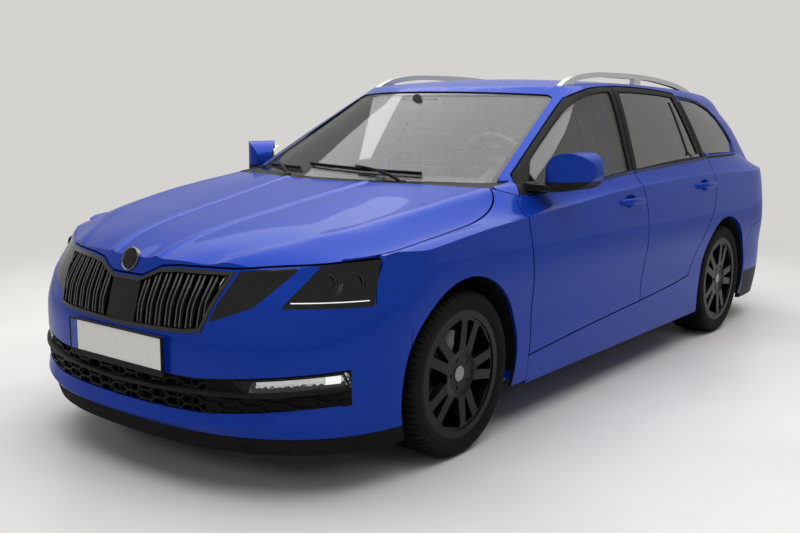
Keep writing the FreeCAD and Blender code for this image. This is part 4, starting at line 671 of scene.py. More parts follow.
def grille_pick(c, n):
    """Black below the upper grille, dark chrome for its frame, gloss for the rest."""
    if c.z < FRONT_SPLIT:
        return 2
    return 1 if edge_distance(GRILLE, c.x, c.z) < GRILLE_FRAME and n.y < 0.2 else 0


def slat(name, x):
    """Upright slat of the grille, bent forwards most below its middle."""
    levels = [0.545 + 0.005 * i for i in range(45)]
    levels = [z for z in levels if inside(GRILLE, x, z) and edge_distance(GRILLE, x, z) > 0.0145]
    if len(levels) < 5:
        return
    points = []
    for i, z in enumerate(spread(levels[0], levels[-1], 10)):
        y = from_front("grilles", x, z)[0].y
        bend = 0.010 * (1 - abs(i - 4.0) / 6.0) + 0.001
        points += [(x - SLAT_HALF, y + 0.003, z), (x - SLAT_HALF / 2, y - bend, z),
                   (x + SLAT_HALF / 2, y - bend, z), (x + SLAT_HALF, y + 0.003, z)]
    make(name, points, bar_faces(11, 4), SHELL, SLAT, "black_gloss", smooth=None)


def nose_line(x, z):
    """Station of the bumper's front surface at a height, as the part has it."""
    half = NOSE_HALF_WIDTH - between(SIDE_SETBACK, z * 1000) / 1000
    nose = NOSE + between(NOSE_SETBACK, z * 1000) / 1000
    return NOSE_START + (nose - NOSE_START) * (1 - (abs(x) / half) ** NOSE_POWER) ** (1 / NOSE_POWER)


def bar_height(x):
    return between(BAR_LINE, abs(x))


def lip_top(x):
    return between(LIP_LINE, abs(x))


def chin_lip():
    """Body-colour lip below the lower intake, with its crease, from corner to corner."""
    points = []
    count = 61
    low = CHIN_LOW + 0.001
    for x in spread(-LIP_END, LIP_END, count - 1):
        fade = max(0.0, 1 - (abs(x) / LIP_END) ** 3)
        top = lip_top(x)
        crease = low + (top - low) * (0.30 + 0.55 * (1 - fade))
        for z, ahead in ((top, -0.012), (top, PROUD), (crease, PROUD + 0.026 * fade),
                         (low, PROUD + 0.004 * fade), (low, -0.010)):
            points.append((x, nose_line(x, z) - ahead, z))
    make("chin_lip", points, bar_faces(count, 5), SHELL, PAINT, "body_paint", smooth=24)


def intake_bar():
    """Black bar across the lower intake, level in the middle and rising under the fog lamps."""
    last = 60
    spine = [Vector((x, nose_line(x, bar_height(x)), bar_height(x))) for x in spread(-BAR_END, BAR_END, last)]
    normals = []
    for i in range(last + 1):
        ahead = spine[min(i + 1, last)] - spine[max(i - 1, 0)]
        normals.append(ahead.cross(Vector((0, 0, 1))).normalized())
    strip("intake_bar", spine, normals, 0.021, 0.010, SHELL, BLACK, "black_gloss", sink=0.008, taper=0.55)


def hexagon_walls(wide, tall, low):
    """Walls of a field of hexagons, each wall once, in the plane of the front."""
    walls = set()
    for row in range(-2, 12):
        for column in range(-18, 19):
            cx = column * 1.5 * wide
            cz = low + row * 2 * tall + (tall if column % 2 else 0)
            corners = [(round(cx + wide * a, 5), round(cz + tall * b, 5)) for a, b in
                       ((1, 0), (0.5, 1), (-0.5, 1), (-1, 0), (-0.5, -1), (0.5, -1))]
            for p, q in zip(corners, corners[1:] + corners[:1]):
                walls.add((min(p, q), max(p, q)))
    return sorted(walls)


def in_mesh(a, b, mid):
    """Whether a stretch of wall lies in the intake, clear of its bar, its lip and the fog lamps."""
    x, z = mid
    if not all(inside(INTAKE, *e) and edge_distance(INTAKE, *e) > 0.007 for e in (a, b, mid)):
        return False
    if abs(x) > MESH_END or z < lip_top(x) or abs(z - bar_height(x)) < 0.012:
        return False
    return abs(x) <= 0.47 or z <= bar_height(x)


def intake_mesh():
    """Hexagon mesh over the lower intake's ribs."""
    points, faces = [], []
    depth, half_wall = 0.007, 0.0042
    for p, q in hexagon_walls(0.048, 0.0165, 0.240):
        for step in range(2):
            a, b = [[p[i] + (q[i] - p[i]) * t / 2 for i in (0, 1)] for t in (step, step + 1)]
            mid = ((a[0] + b[0]) / 2, (a[1] + b[1]) / 2)
            if not in_mesh(a, b, mid):
                continue
            near = -0.0005 if abs(mid[0]) > 0.47 else 0.0015
            across = Vector((-(b[1] - a[1]), b[0] - a[0])).normalized() * half_wall
            faces += [[len(points) + i for i in quad] for quad in BOX_FACES]
            for x, z in (a, b):
                y = nose_line(x, z)
                points += [(x + sign * across.x, y + back, z + sign * across.y)
                           for sign in (1, -1) for back in (near, near + depth)]
    add_object("intake_mesh", new_mesh("intake_mesh", points, faces), SHELL, FRAME, slot="black_gloss")


def intake_corner(side, s):
    """Painted end of the intake, outboard of its mesh."""
    columns, rows = 6, 8
    low, high = 0.322, 0.450
    points = []
    for layer in (PROUD, -0.010):
        for i in range(columns + 1):
            for z in spread(low, high, rows):
                outer = 0.872 - (z - low) * 0.30
                x = INTAKE_END + (outer - INTAKE_END) * i / columns
                points.append((s * x, nose_line(x, z) - layer, z))
    make("intake_corner_" + side, points, slab_faces(columns, rows), SHELL, PAINT, "body_paint")


dressed("front_lamps", [SMOKE, GLOSS, CLEAR_LENS, BRIGHT], lamp_pick,
        cuts=[plane_through((s * FOG_EDGE, 0, FOG_LOW), (s * 0.590, 0, 0.438), (0, 1, 0)) for _, s in SIDES])
dressed("grilles", [GLOSS, CHROME, DARK], grille_pick)
for k in range(8):
    for offset in SLAT_OFFSETS:
        for letter, s in (("L", 1), ("R", -1)):
            slat("grille_slat_%s_%d_%d" % (letter, k, int(offset * 1000)),
                 s * (SLAT_START + SLAT_PITCH * k + offset))
chin_lip()
intake_bar()
intake_mesh()
for side, s in SIDES:
    intake_corner(side, s)


# Details of the lamps

GUIDE = [(0.752, 0.757), (0.790, 0.760), (0.822, 0.763), (0.826, 0.745), (0.818, 0.722), (0.790, 0.716)]
FOG_WINDOW = [(0.770, 0.414), (0.800, 0.416)]
FOG_RING = [(0.520, 0.404), (0.600, 0.413), (0.700, 0.424), (0.806, 0.435), (0.815, 0.390), (0.700, 0.373),
            (0.580, 0.356), (0.520, 0.404)]


def lamp_trim(name, s, places, width, height, mat, slot, lift=0.0):
    trim(name, partial(from_front, "front_lamps"), [(s * x, z) for x, z in places], width, height,
         SHELL, mat, slot, lift=lift)


def projector(name, s, x, z, r):
    """Ring and lens behind the smoked panel."""
    centre = from_front("front_lamps", s * x, z)[0] + Vector((0, 0.030, 0))
    turned("projector_" + name, [(0.0, r), (-0.012, r + 0.004), (-0.014, r + 0.001), (-0.004, r - 0.004)],
           centre, (0, 1, 0), SHELL, CHROME, "lamp_glass", steps=32)
    turned("projector_lens_" + name, [(0.0, 0.0001), (0.0, r - 0.003), (-0.006, r * 0.7), (-0.010, r * 0.3),
                                      (-0.011, 0.0001)],
           centre, (0, 1, 0), SHELL, GLOSS, "lamp_glass", steps=24)


def lamp_details(side, s):
    """Line low in the lamp, guide round its corner, projectors, and the fog lamp's window and frame."""
    line = line_between((0.662, 0.6655), (0.838, 0.6695), 12)
    lamp_trim("lamp_line_" + side, s, line, 0.0032, 0.0011, LIGHT_LINE, "lamp_glass", lift=0.0002)
    lamp_trim("lamp_guide_" + side, s, GUIDE, 0.0016, 0.0006, CHROME, "lamp_glass")
    for k, (x, z, r) in enumerate(((0.728, 0.722, 0.030), (0.790, 0.726, 0.026))):
        projector("%s_%d" % (side, k), s, x, z, r)
    lamp_trim("fog_window_" + side, s, FOG_WINDOW, 0.026, 0.0012, LIGHT_LINE, "lamp_glass")
    lamp_trim("fog_frame_" + side, s, along(FOG_RING, 4), 0.007, 0.0022, GLOSS, "black_gloss")


for side, s in SIDES:
    lamp_details(side, s)


# Plates and badge

PLATE_WIDTH, PLATE_HEIGHT, PLATE_BAND, PLATE_RIM = 0.520, 0.110, 0.042, 0.003


def plate(name, turn, body, back):
    """Blank number plate in a plain frame, facing along -Y before it is turned."""
    x, z = PLATE_WIDTH / 2, PLATE_HEIGHT / 2
    face = (-0.0020, 0.001)
    for piece, xs, ys, zs, mat, bevel in (
            ("holder", (-x - 0.006, x + 0.006), (0.0, back), (-z - 0.026, z + 0.007), BLACK, 0.003),
            ("blank", (-x + PLATE_BAND, x), face, (-z, z), WHITE, 0.0006),
            ("band", (-x, -x + PLATE_BAND), face, (-z, z), BAND, 0.0006)):
        make(name + "_" + piece, [turn @ p for p in box_points(xs, ys, zs)], BOX_FACES, body, mat,
             "black_plastic", bevel=bevel)
    x, z = x + PLATE_RIM, z + PLATE_RIM
    rim = [(-x, z), (x, z), (x, -z), (-x, -z), (-x, z)]
    normal = turn.to_3x3() @ Vector((0, -1, 0))
    for k in range(4):
        spine = [turn @ Vector((px, -0.0002, pz)) for px, pz in line_between(rim[k], rim[k + 1], 3)]
        strip("%s_rim_%d" % (name, k), spine, [normal] * 4, 0.006, 0.0035, body, BLACK, "black_plastic",
              taper=0.6)


def badge():
    """Plain disc with a ring on the bonnet's nose."""
    place, normal = from_front("bonnet", 0.0, 0.762)
    axis = (0, normal.y, normal.z)
    turned("badge_disc", [(-0.010, 0.0001), (-0.010, 0.040), (0.003, 0.040), (0.005, 0.036), (0.0045, 0.018),
                          (0.006, 0.0001)], place, axis, "bonnet", GLOSS, "black_gloss", steps=48)
    turned("badge_ring", [(-0.008, 0.0385), (-0.008, 0.0445), (0.004, 0.0445), (0.0065, 0.0415),
                          (0.004, 0.0385)], place, axis, "bonnet", SLAT, "satin_metal", steps=48)


plate("front_plate", Matrix.Translation((-0.004, -2.3420, 0.4685)), SHELL, 0.0085)
badge()


# Wheels and tyres

TYRE_SHOULDER = [(0.0945, 0.2290), (0.1035, 0.2405), (0.1100, 0.2560), (0.1122, 0.2720), (0.1125, 0.2760),
                 (0.1112, 0.2780), (0.1108, 0.2880), (0.1085, 0.2980), (0.1060, 0.3030), (0.1010, 0.3085),
                 (0.0950, 0.3130), (0.0865, 0.3160), (0.0620, 0.3172)]
TYRE_GROOVES = [(0.0600, 0.3173), (0.0590, 0.3100), (0.0510, 0.3100), (0.0500, 0.3177), (0.0270, 0.3183),
                (0.0260, 0.3110), (0.0180, 0.3110), (0.0170, 0.3184)]
TREAD_BLOCKS, TREAD_STOPS = 76, (0.0, 0.72, 0.77, 0.95)
WHEEL_FACE, BOLT_CIRCLE = 0.091, 0.056


def tread_radius(x, r):
    """Radius in a cut across the tread: deep in the shoulder, shallow in the middle."""
    if 0.0505 < x <= 0.1065 and r > 0.3015:
        return r - (0.0065 if x < 0.1 else 0.004)
    return r - 0.0025 if x <= 0.0505 and r > 0.3150 else r


def tyre(end, side, s, y0):
    """Tyre with grooves round it and blocks cut across its shoulders."""
    half = TYRE_SHOULDER + TYRE_GROOVES
    profile = half + [(-x, r) for x, r in reversed(half)]
    pitch = 2 * math.pi / TREAD_BLOCKS
    angles = [(k + stop) * pitch for k in range(TREAD_BLOCKS) for stop in TREAD_STOPS]
    points = []
    for j, angle in enumerate(angles):
        for x, r in profile:
            here = tread_radius(abs(x), r) if j % 4 >= 2 else r
            shift = 0.5 * pitch if x < -0.055 else 0.0
            turn = angle + shift + 0.35 * (abs(x) - 0.05)
            points.append((s * WHEEL_X + x, y0 + here * math.cos(turn), WHEEL_Z + here * math.sin(turn)))
    obj = make("tyre_%s_%s.tread" % (end, side), points, ring_faces(len(angles), len(profile)),
               "%s_wheel_%s" % (end, side), RUBBER, "tyre", smooth=28.0)
    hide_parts("tyre_%s_%s" % (end, side))


def wheel_fittings(end, side, s, y0):
    """Plain centre cap with its ring, and five bolts."""
    wheel = "%s_%s" % (end, side)
    body = "%s_wheel_%s" % (end, side)
    out = (s, 0, 0)
    face = Vector((s * (WHEEL_X + WHEEL_FACE), y0, WHEEL_Z))
    turned("centre_cap_" + wheel, [(-0.012, 0.0001), (-0.012, 0.0300), (0.002, 0.0300), (0.0035, 0.0275),
                                   (0.0025, 0.024), (0.004, 0.0001)],
           face, out, body, CAP, "satin_metal", steps=40)
    turned("cap_ring_" + wheel, [(-0.006, 0.0295), (-0.006, 0.0345), (0.001, 0.0345), (0.003, 0.0320),
                                 (0.002, 0.0295)],
           face, out, body, ALLOY, "black_alloy", steps=40)
    for k in range(5):
        angle = math.radians(72.0 * k + 36.0)
        centre = face + Vector((0, BOLT_CIRCLE * math.cos(angle), BOLT_CIRCLE * math.sin(angle)))
        turned("wheel_bolt_%s_%d" % (wheel, k), [(-0.030, 0.0001), (-0.030, 0.0065), (-0.006, 0.0065),
                                                 (-0.003, 0.0045), (-0.0035, 0.0001)],
               centre, out, body, CHASSIS, "black_alloy", steps=6, smooth=None)


for side, s in SIDES:
    for end, y0 in (("front", FRONT_AXLE), ("rear", REAR_AXLE)):
        tyre(end, side, s, y0)
        wheel_fittings(end, side, s, y0)


# Doors' handles and trims, mirrors, and bands round the side glass

PILLAR_BAND = [(1.088, 1.036), (1.050, 1.215), (1.011, 1.374)]
QUARTER_LOW = [(1.082, 1.036), (1.380, 1.036), (1.672, 1.037)]
QUARTER_TOP = [(1.008, 1.373), (1.175, 1.366), (1.352, 1.348), (1.520, 1.306), (1.600, 1.258), (1.660, 1.185),
               (1.712, 1.108), (1.700, 1.060), (1.672, 1.037)]
DIVIDER = [(0.868, 1.046), (0.868, 1.210), (0.866, 1.366)]


def handle(door, side, s):
    """Pull handle bowed out over its bowl."""
    y0, y1, z0, z1 = DOORS[door]["handle"]
    spine, radii = [], []
    for t in spread(0.0, 1.0, 14):
        place, normal = from_side(door + side, s, y0 + (y1 - y0) * t, z0 + (z1 - z0) * t)
        rise = 0.036 * (1 - abs(2 * t - 1) ** 4.5)
        spine.append(place + normal * (rise - 0.006))
        radii.append(0.0100 * (1 - 0.30 * abs(2 * t - 1) ** 3))
    tube(door + "handle_" + side, spine, radii, door + side, PAINT, "body_paint", sides=14, flat=1.7)


def belt_trim(door, side, s):
    """Black trim under the window line."""
    places = [(y, between(BELT, y) - 0.006) for y in spread(*DOORS[door]["trim"], 24)]
    trim(door + "belt_trim_" + side, partial(from_side, door + side, s), places, 0.012, 0.003, door + side,
         GLOSS, "black_gloss", taper=0.5)


def mirror_glass(side, s):
    """Mirror's glass, laid on the rear of its housing."""
    columns, rows = 8, 6
    points = []
    for lift in (0.0005, 0.0030):
        for i in range(columns + 1):
            x = 0.872 + 0.118 * i / columns
            fall = (i / columns) ** 2
            for z in spread(0.988 + 0.020 * fall, 1.096 - 0.034 * fall, rows):
                hit = surface("mirror_" + side, (s * x, 0.0, z), (0, -1, 0))
                place = hit[0] if hit else Vector((s * x, -0.65, z))
                points.append(place + Vector((-s * 0.5, 0.86, 0)) * lift)
    make("mirror_glass_" + side, points, slab_faces(columns, rows), "front_door_" + side, MIRROR, "glass",
         smooth=50)


def mirror_foot(side, s):
    """Foot that seats the mirror's arm on the door, widest where it sits."""
    points = []
    for x, grow in ((0.786, 0.008), (0.8135, 0.0)):
        points += box_points((s * x,), (-0.876 - grow, -0.802 + grow), (0.963 - grow, 0.993 + grow))
    make("mirror_foot_" + side, points, BOX_FACES, "front_door_" + side, BLACK, "black_plastic", bevel=0.004)


def side_band(name, node, body, s, line, width, height=0.0014):
    """Flat black band on the side's glass or frame, along a line of (y, z) points."""
    trim(name, partial(from_side, node, s), along(line, 6), width, height, body, FRAME, "black_gloss",
         taper=0.9)


for side, s in SIDES:
    for door in DOORS:
        handle(door, side, s)
    mirror_glass(side, s)
    mirror_foot(side, s)
    for door in DOORS:
        belt_trim(door, side, s)
for side, s in SIDES:
    pillar = "side_frame_" + side
    side_band("pillar_band_" + side, pillar, SHELL, s, PILLAR_BAND, 0.042)
    side_band("quarter_low_" + side, pillar, SHELL, s, QUARTER_LOW, 0.016)
    side_band("quarter_top_" + side, pillar, SHELL, s, QUARTER_TOP, 0.016)
    side_band("glass_divider_" + side, "rear_door_glass_" + side, "rear_door_" + side, s, DIVIDER, 0.024,
              height=0.003)


# Wipers

def on_screen(x, z):
    return from_front("windscreen", x, z) or (Vector((x, -1.1, z)), Vector((0, -0.5, 0.8)))


def wiper(name, pivot, tip):
    """Blade with its rubber on the windscreen, arm and pivot."""
    places = [on_screen(x, z) for x, z in line_between((pivot.x + 0.05, 1.020), tip, 16)]
    blade = [place + normal * 0.012 for place, normal in places]
    normals = [normal for _, normal in places]
    tube("wiper_blade_" + name, blade, 0.0048, SHELL, BLACK, "black_plastic", sides=8)
    rubber = [p - n * 0.008 for p, n in zip(blade, normals)]
    tube("wiper_rubber_" + name, rubber, 0.0034, SHELL, RUBBER, "black_plastic", sides=6)
    middle = blade[8] + normals[8] * 0.012
    arm = smooth_line([pivot, pivot.lerp(middle, 0.3) + Vector((0, -0.004, 0.016)),
                       pivot.lerp(middle, 0.75) + Vector((0, -0.002, 0.010)), middle])
    tube("wiper_arm_" + name, arm, spread(0.0075, 0.0045, len(arm) - 1), SHELL, BLACK, "black_plastic")
    turned("wiper_pivot_" + name, [(-0.02, 0.0001), (-0.02, 0.016), (0.008, 0.016), (0.014, 0.010),
                                   (0.015, 0.0001)],
           pivot, (0, -0.3, 0.95), SHELL, BLACK, "black_plastic", steps=24)


wiper("left", Vector((0.36, -1.150, 0.986)), (-0.19, 1.040))
wiper("right", Vector((-0.28, -1.185, 0.990)), (-0.62, 1.020))


# Rear: plate, grip, crease, lamps' inner bands, wiper and the tailpipe's end

def rear_plate():
    place, normal = from_rear("tailgate", 0.0, 0.800)
    lean = math.atan2(normal.z, normal.y)
    turn = Matrix.Rotation(math.pi, 4, "Z") @ Matrix.Rotation(-lean, 4, "X")
    plate("rear_plate", Matrix.Translation(place + normal * 0.010) @ turn, "tailgate", 0.016)


def tailgate_strip(name, z, half, width, height, mat):
    places = [(x, z) for x in spread(-half, half, 24)]
    trim(name, partial(from_rear, "tailgate"), places, width, height, "tailgate", mat, "black_gloss",
         taper=0.7)


def lamp_bands(node, body, side, s, x0, x1):
    """Clear band over a lighter red one in a rear lamp."""
    for k, (z, height, mat) in enumerate(((0.868, 0.016, CLEAR_LENS), (0.812, 0.010, LIGHT_RED))):
        places = [(s * x, level) for x, level in line_between((x0, z), (x1, z + 0.006), 14)]
        trim("%s_band_%s_%d" % (node, side, k), partial(from_rear, node), places, height, 0.0012, body, mat,
             "red_lens")


def rear_wiper():
    blade = []
    for x, z in line_between((0.02, 1.010), (0.38, 1.025), 18):
        place, normal = from_rear("tailgate_glass", x, z)
        blade.append(place + normal * 0.010)
    tube("rear_wiper_blade", blade, 0.006, "tailgate", BLACK, "black_plastic", sides=8)
    place, normal = from_rear("tailgate_glass", 0.0, 0.995)
    arm = smooth_line([place + normal * 0.012, place + normal * 0.030 + Vector((0.06, 0, 0.006)),
                       blade[9] + normal * 0.010])
    tube("rear_wiper_arm", arm, 0.007, "tailgate", BLACK, "black_plastic")
    turned("rear_wiper_pivot", [(-0.02, 0.0001), (-0.02, 0.020), (0.020, 0.017), (0.026, 0.010),
                                (0.027, 0.0001)],
           place, normal, "tailgate", BLACK, "black_plastic", steps=28)


rear_plate()
tailgate_strip("tailgate_grip", 0.895, 0.30, 0.030, 0.010, GLOSS)
tailgate_strip("tailgate_crease", 0.700, 0.45, 0.006, 0.002, PAINT)
for side, s in SIDES:
    lamp_bands("tailgate_lamps", "tailgate", side, s, 0.33, 0.56)
    lamp_bands("tail_lamps", SHELL, side, s, 0.64, 0.84)
rear_wiper()
turned("tailpipe_end", [(-0.10, 0.0262), (-0.10, 0.0300), (0.004, 0.0300), (0.008, 0.0285), (0.004, 0.0262)],
       (-0.320, 2.222, 0.230), (0, 1, 0), SHELL, PIPE, "exhaust_steel", steps=40)


# Seats

SEAT_X, BENCH_WIDTH, SEAT_CUT = 0.370, 1.190, 0.390


def bump_at(distance, width):
    return math.exp(-(distance / width) ** 2)


def pad_height(u, v, size, bolster, split_at, channels, parts):
    """Height of a cushion's upper side, with u across and v along it from -1 to 1."""
    width, length, thick = size
    shape = max(0.0, 1 - abs(u) ** 7) ** 0.42 * max(0.0, 1 - abs(v) ** 7) ** 0.42
    side = min(1.0, max(0.0, (abs(u) - 0.5) / 0.3))
    seams = [bump_at((abs(u) - split_at) * width / 2, 0.006)]
    if abs(u) < split_at:
        seams += [bump_at((v - c) * length / 2, 0.007) for c in channels]
    seams += [1.6 * bump_at((u + 1 - 2 * c / parts) * width / 2, 0.008) for c in range(1, parts)]
    height = (thick * 0.5 + bolster * side * side * (3 - 2 * side)) * shape
    return height + thick * 0.10 * (1 - u * u) * (1 - v * v) - 0.006 * max(seams) * shape


def pad(name, size, place, bolster=0.0, split_at=0.62, channels=(), narrow=0.0, parts=1, back=0.35):
    """Crowned cushion, its size along local X, Y and Z, with side bolsters, seams and sewn channels."""
    width, length, thick = size
    columns, rows = 44, 40
    points, faces, kinds = [], [], []
    for top in (True, False):
        for j in range(rows + 1):
            v = -math.cos(math.pi * j / rows)
            taper = (1 - 0.05 * abs(v) ** 6) * (1 - narrow * (v + 1) / 2)
            for i in range(columns + 1):
                u = -math.cos(math.pi * i / columns) * 0.5 + 0.5 * (-1 + 2 * i / columns)
                if top:
                    z = pad_height(u, v, size, bolster, split_at, channels, parts)
                else:
                    z = -thick * back * max(0.0, 1 - abs(u) ** 7) ** 0.42 * max(0.0, 1 - abs(v) ** 7) ** 0.42
                y = v * length / 2 * (1 - 0.03 * abs(u) ** 6)
                points.append(place @ Vector((u * width / 2 * taper, y, z)))
    row = columns + 1
    layer = row * (rows + 1)
    for j in range(rows):
        for i in range(columns):
            a = j * row + i
            u = abs(-1 + 2 * (i + 0.5) / columns)
            faces.append([a, a + 1, a + row + 1, a + row])
            kinds.append(1 if bolster and u > split_at + 0.02 else 0)
            faces.append([layer + a, layer + a + row, layer + a + row + 1, layer + a + 1])
            kinds.append(1)
    mesh = new_mesh(name, points, faces)
    for polygon, kind in zip(mesh.polygons, kinds):
        polygon.material_index = kind
    weld(mesh, 2e-4)
    obj = add_object(name, mesh, SHELL, CLOTH, BOLSTER, slot="seat_fabric")
    for p in mesh.polygons:
        p.use_smooth = True


def tilted(x, y, z, degrees):
    """Frame whose local Y leans back from upright when the angle is near 90, and local Z faces forwards."""
    return Matrix.Translation((x, y, z)) @ Matrix.Rotation(math.radians(degrees), 4, "X")


def seat_base():
    """Plastic skirts and rails: the CAD seats below their cushions, closed on top."""
    bm = welded("seats")
    cut = split(bm, (0, 0, SEAT_CUT), (0, 0, 1), clear_outer=True)
    bmesh.ops.holes_fill(bm, edges=[e for e in cut["geom_cut"] if isinstance(e, bmesh.types.BMEdge)])
    mesh = plain_mesh("seat_bases", bm)
    bm.free()
    obj = add_object("seat_bases", mesh, SHELL, CABIN, slot="cabin_plastic")
    soften(obj, 30)
    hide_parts("seats")


def headrest_posts(name, x, offset, line):
    for letter, shift in (("a", -offset), ("b", offset)):
        tube("%s_%s" % (name, letter), [Vector((x + shift, y, z)) for y, z in line], 0.006, SHELL, SATIN,
             "satin_metal")


seat_base()
for side, s in SIDES:
    x = s * SEAT_X
    pad("front_cushion_" + side, (0.480, 0.500, 0.110), tilted(x, -0.345, 0.420, -3), bolster=0.022,
        channels=(-0.35, 0.1, 0.55))
    pad("front_backrest_" + side, (0.470, 0.585, 0.120), tilted(x, -0.015, 0.700, 101), bolster=0.030,
        channels=(-0.45, -0.05, 0.35), narrow=0.16, back=0.5)
    pad("front_headrest_" + side, (0.245, 0.160, 0.100), tilted(x, 0.045, 1.085, 97), split_at=0.9, back=0.5)
    headrest_posts("headrest_post_" + side, x, 0.055, ((0.036, 0.955), (0.042, 0.990), (0.046, 1.030)))
    pad("rear_headrest_" + side, (0.240, 0.100, 0.075), tilted(x, 0.985, 1.070, 97), split_at=0.9, back=0.5)
    headrest_posts("rear_post_" + side, x, 0.05, ((0.976, 0.990), (0.982, 1.010), (0.986, 1.040)))
pad("rear_cushion", (BENCH_WIDTH, 0.420, 0.120), tilted(0, 0.655, 0.405, -2), parts=3, split_at=0.86,
    channels=(-0.3, 0.3))
pad("rear_backrest", (BENCH_WIDTH, 0.540, 0.100), tilted(0, 0.915, 0.735, 103), parts=3, split_at=0.86,
    channels=(-0.3, 0.25), back=0.5)


# Dashboard's fittings, gear knob, inner mirror and door pulls

VENT_Y, VENT_Z = -0.668, 0.862


def vent(k, x, half):
    """Five blades of an air vent."""
    for j in range(5):
        z = VENT_Z - 0.030 + 0.015 * j
        spine = [Vector((x - half + 2 * half * i / 4, VENT_Y + 0.002 * abs(i - 2), z)) for i in range(5)]
        strip("vent_%d_%d" % (k, j), spine, [Vector((0, 0.95, 0.1))] * 5, 0.008, 0.022, SHELL, GLOSS,
              "black_gloss")


def panel(name, xs, zs, y, lean):
    """Gloss panel whose foot lies further forwards by a lean."""
    points = [Vector((x, y + (lean if z == zs[0] else 0) + d, z))
              for x in xs for d in (-0.03, 0.012) for z in zs]
    make(name, points, BOX_FACES, SHELL, GLOSS, "black_gloss", bevel=0.004)


def inner_mirror():
    """Mirror with slanted ends on a stem that widens to the windscreen."""
    shape = ((-0.115, 1.300), (-0.110, 1.345), (0.110, 1.345), (0.115, 1.300), (0.085, 1.282),
             (-0.085, 1.282))
    points = [(x, y - (z - 1.31) * 0.2, z) for y in (-0.560, -0.535) for x, z in shape]
    make("inner_mirror", points, bar_faces(2, 6), SHELL, CABIN, "cabin_plastic", bevel=0.006)
    place = from_front("windscreen", 0.0, 1.335)[0]
    tube("inner_mirror_stem", [Vector((0, -0.548, 1.325)), place + Vector((0, 0.030, 0.004)),
                               place + Vector((0, 0.008, 0.002))],
         [0.008, 0.012, 0.030], SHELL, CABIN, "cabin_plastic")


for k, (x, half) in enumerate(((-0.62, 0.075), (-0.115, 0.07), (0.115, 0.07), (0.62, 0.075))):
    vent(k, x, half)
panel("centre_screen", (-0.125, 0.125), (0.700, 0.820), -0.690, -0.03)
panel("instruments", (0.230, 0.510), (0.905, 0.965), -0.648, -0.01)
panel("climate_panel", (-0.110, 0.110), (0.640, 0.680), -0.735, -0.03)
turned("gear_knob", [(0.10, 0.0001), (0.10, 0.018), (0.085, 0.024), (0.06, 0.020), (0.05, 0.008),
                     (0.0, 0.007), (-0.02, 0.035), (-0.03, 0.045), (-0.03, 0.0001)],
       (0.0, -0.430, 0.560), (0, 0.1, 1), SHELL, CABIN, "cabin_plastic", steps=28)
inner_mirror()
for side, s in SIDES:
    pull = smooth_line([(s * 0.795, -0.640, 0.700), (s * 0.760, -0.560, 0.725), (s * 0.760, -0.300, 0.735),
                        (s * 0.795, -0.220, 0.715)])
    tube("door_pull_" + side, pull, 0.014, "front_door_" + side, CABIN, "cabin_plastic")


# Camera, lights and studio

CAMERA_PLACE = (2.83014, -4.33611, 1.29604)
CAMERA_YAW, CAMERA_PITCH, CAMERA_ROLL = -37.923, -9.332, 0.4625
FOCAL_PIXELS, PHOTO_WIDTH_PIXELS, SENSOR_MM = 961.77, 800.0, 36.0


def camera():
    """Camera solved from the photograph."""
    yaw, pitch, roll = (math.radians(a) for a in (CAMERA_YAW, CAMERA_PITCH, CAMERA_ROLL))
    ahead = Vector((math.sin(yaw) * math.cos(pitch), math.cos(yaw) * math.cos(pitch), math.sin(pitch)))
    level = ahead.cross(Vector((0, 0, 1))).normalized()
    above = level.cross(ahead)
    right = level * math.cos(roll) + above * math.sin(roll)
    up = above * math.cos(roll) - level * math.sin(roll)
    data = bpy.data.cameras.new("camera")
    data.sensor_width, data.lens = SENSOR_MM, FOCAL_PIXELS * SENSOR_MM / PHOTO_WIDTH_PIXELS
    data.clip_end = 100.0
    obj = link_object("camera", data)
    obj.matrix_world = Matrix.Translation(CAMERA_PLACE) @ Matrix((right, up, -ahead)).transposed().to_4x4()
    bpy.context.scene.camera = obj


def light(name, place, target, size, power, mirrored=True):
    data = bpy.data.lights.new(name, "AREA")
    data.shape = "RECTANGLE"
    data.size, data.size_y = size
    data.energy = power
    obj = link_object(name, data)
    obj.location = place
    obj.visible_glossy = mirrored
    obj.rotation_euler = (Vector(target) - Vector(place)).to_track_quat("-Z", "Y").to_euler()


def combine(tree, operation, first, second):
    return add_node(tree, "Math", {0: first, 1: second}, operation=operation).outputs[0]


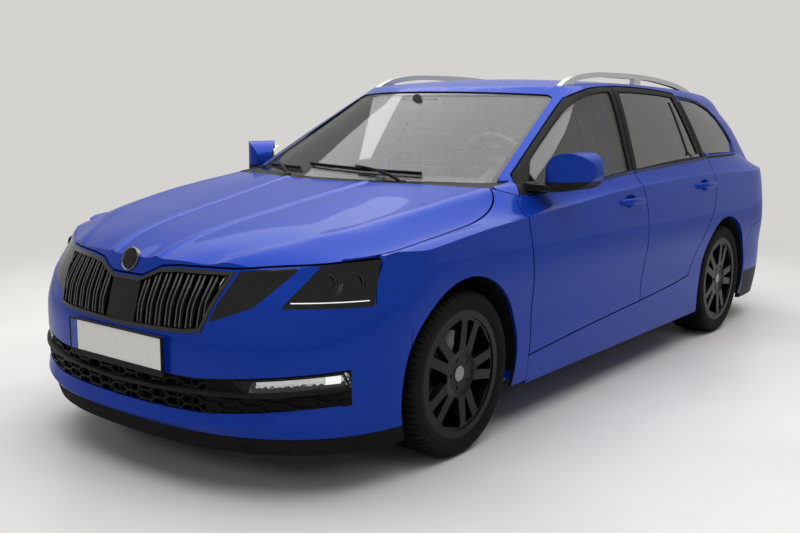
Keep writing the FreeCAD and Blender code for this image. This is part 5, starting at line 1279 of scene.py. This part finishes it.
def studio_world():
    """Pale backdrop for the camera, mirrors and glass; weaker light from it on everything else."""
    world = bpy.data.worlds.new("studio")
    bpy.context.scene.world = world
    world.use_nodes = True
    tree = world.node_tree
    rays = add_node(tree, "LightPath").outputs
    either = combine(tree, "MAXIMUM", rays["Is Glossy Ray"], rays["Is Transmission Ray"])
    seen = combine(tree, "MAXIMUM", rays["Is Camera Ray"], either)
    strength = map_range(tree, seen, AMBIENT_STRENGTH, BACKDROP_STRENGTH)
    feed(tree, tree.nodes["Background"], {"Color": BACKDROP, "Strength": strength})


def floor_material():
    """Pale floor that takes the shadow, blended into the backdrop far from the car, for the camera alone."""
    m = material("studio_floor", (0.80, 0.79, 0.77), 0.42, vary=0.04, vary_scale=0.9, bump=0.05,
                 bump_scale=6.0)
    tree = m.node_tree
    coords = tree.nodes["Texture Coordinate"].outputs["Object"]
    reach = add_node(tree, "VectorMath", {0: coords}, operation="LENGTH").outputs["Value"]
    near, far = FLOOR_FADE
    fade = add_node(tree, "MapRange", {"Value": reach, "From Min": near, "From Max": far},
                    interpolation_type="SMOOTHSTEP").outputs["Result"]
    glow = add_node(tree, "Emission", {"Color": BACKDROP, "Strength": BACKDROP_STRENGTH}).outputs["Emission"]
    share = combine(tree, "MULTIPLY", fade, add_node(tree, "LightPath").outputs["Is Camera Ray"])
    plain = tree.nodes["Principled BSDF"].outputs["BSDF"]
    blend = add_node(tree, "MixShader", {"Fac": share, 1: plain, 2: glow}).outputs["Shader"]
    feed(tree, tree.nodes["Material Output"], {"Surface": blend})
    return m


def studio_floor():
    sides = 48
    angles = [k * 2 * math.pi / sides for k in range(sides)]
    points = [(FLOOR_RADIUS * math.cos(a), FLOOR_RADIUS * math.sin(a), 0) for a in angles]
    mesh = new_mesh("studio_floor", points, [list(range(sides))])
    mesh.materials.append(floor_material())
    link_object("studio_floor", mesh)


camera()
light("ceiling", (-0.4, 0.3, 4.6), (-0.4, 0.3, 0), (9.0, 9.0), 520)
light("front_fill", (1.5, -7.0, 3.4), (0, -1, 0.6), (5.0, 1.6), 40, mirrored=False)
light("side_fill", (7.0, -0.5, 3.6), (0, 0, 0.5), (6.0, 1.2), 10, mirrored=False)
studio_world()
bpy.context.scene.view_settings.view_transform = "Standard"
studio_floor()
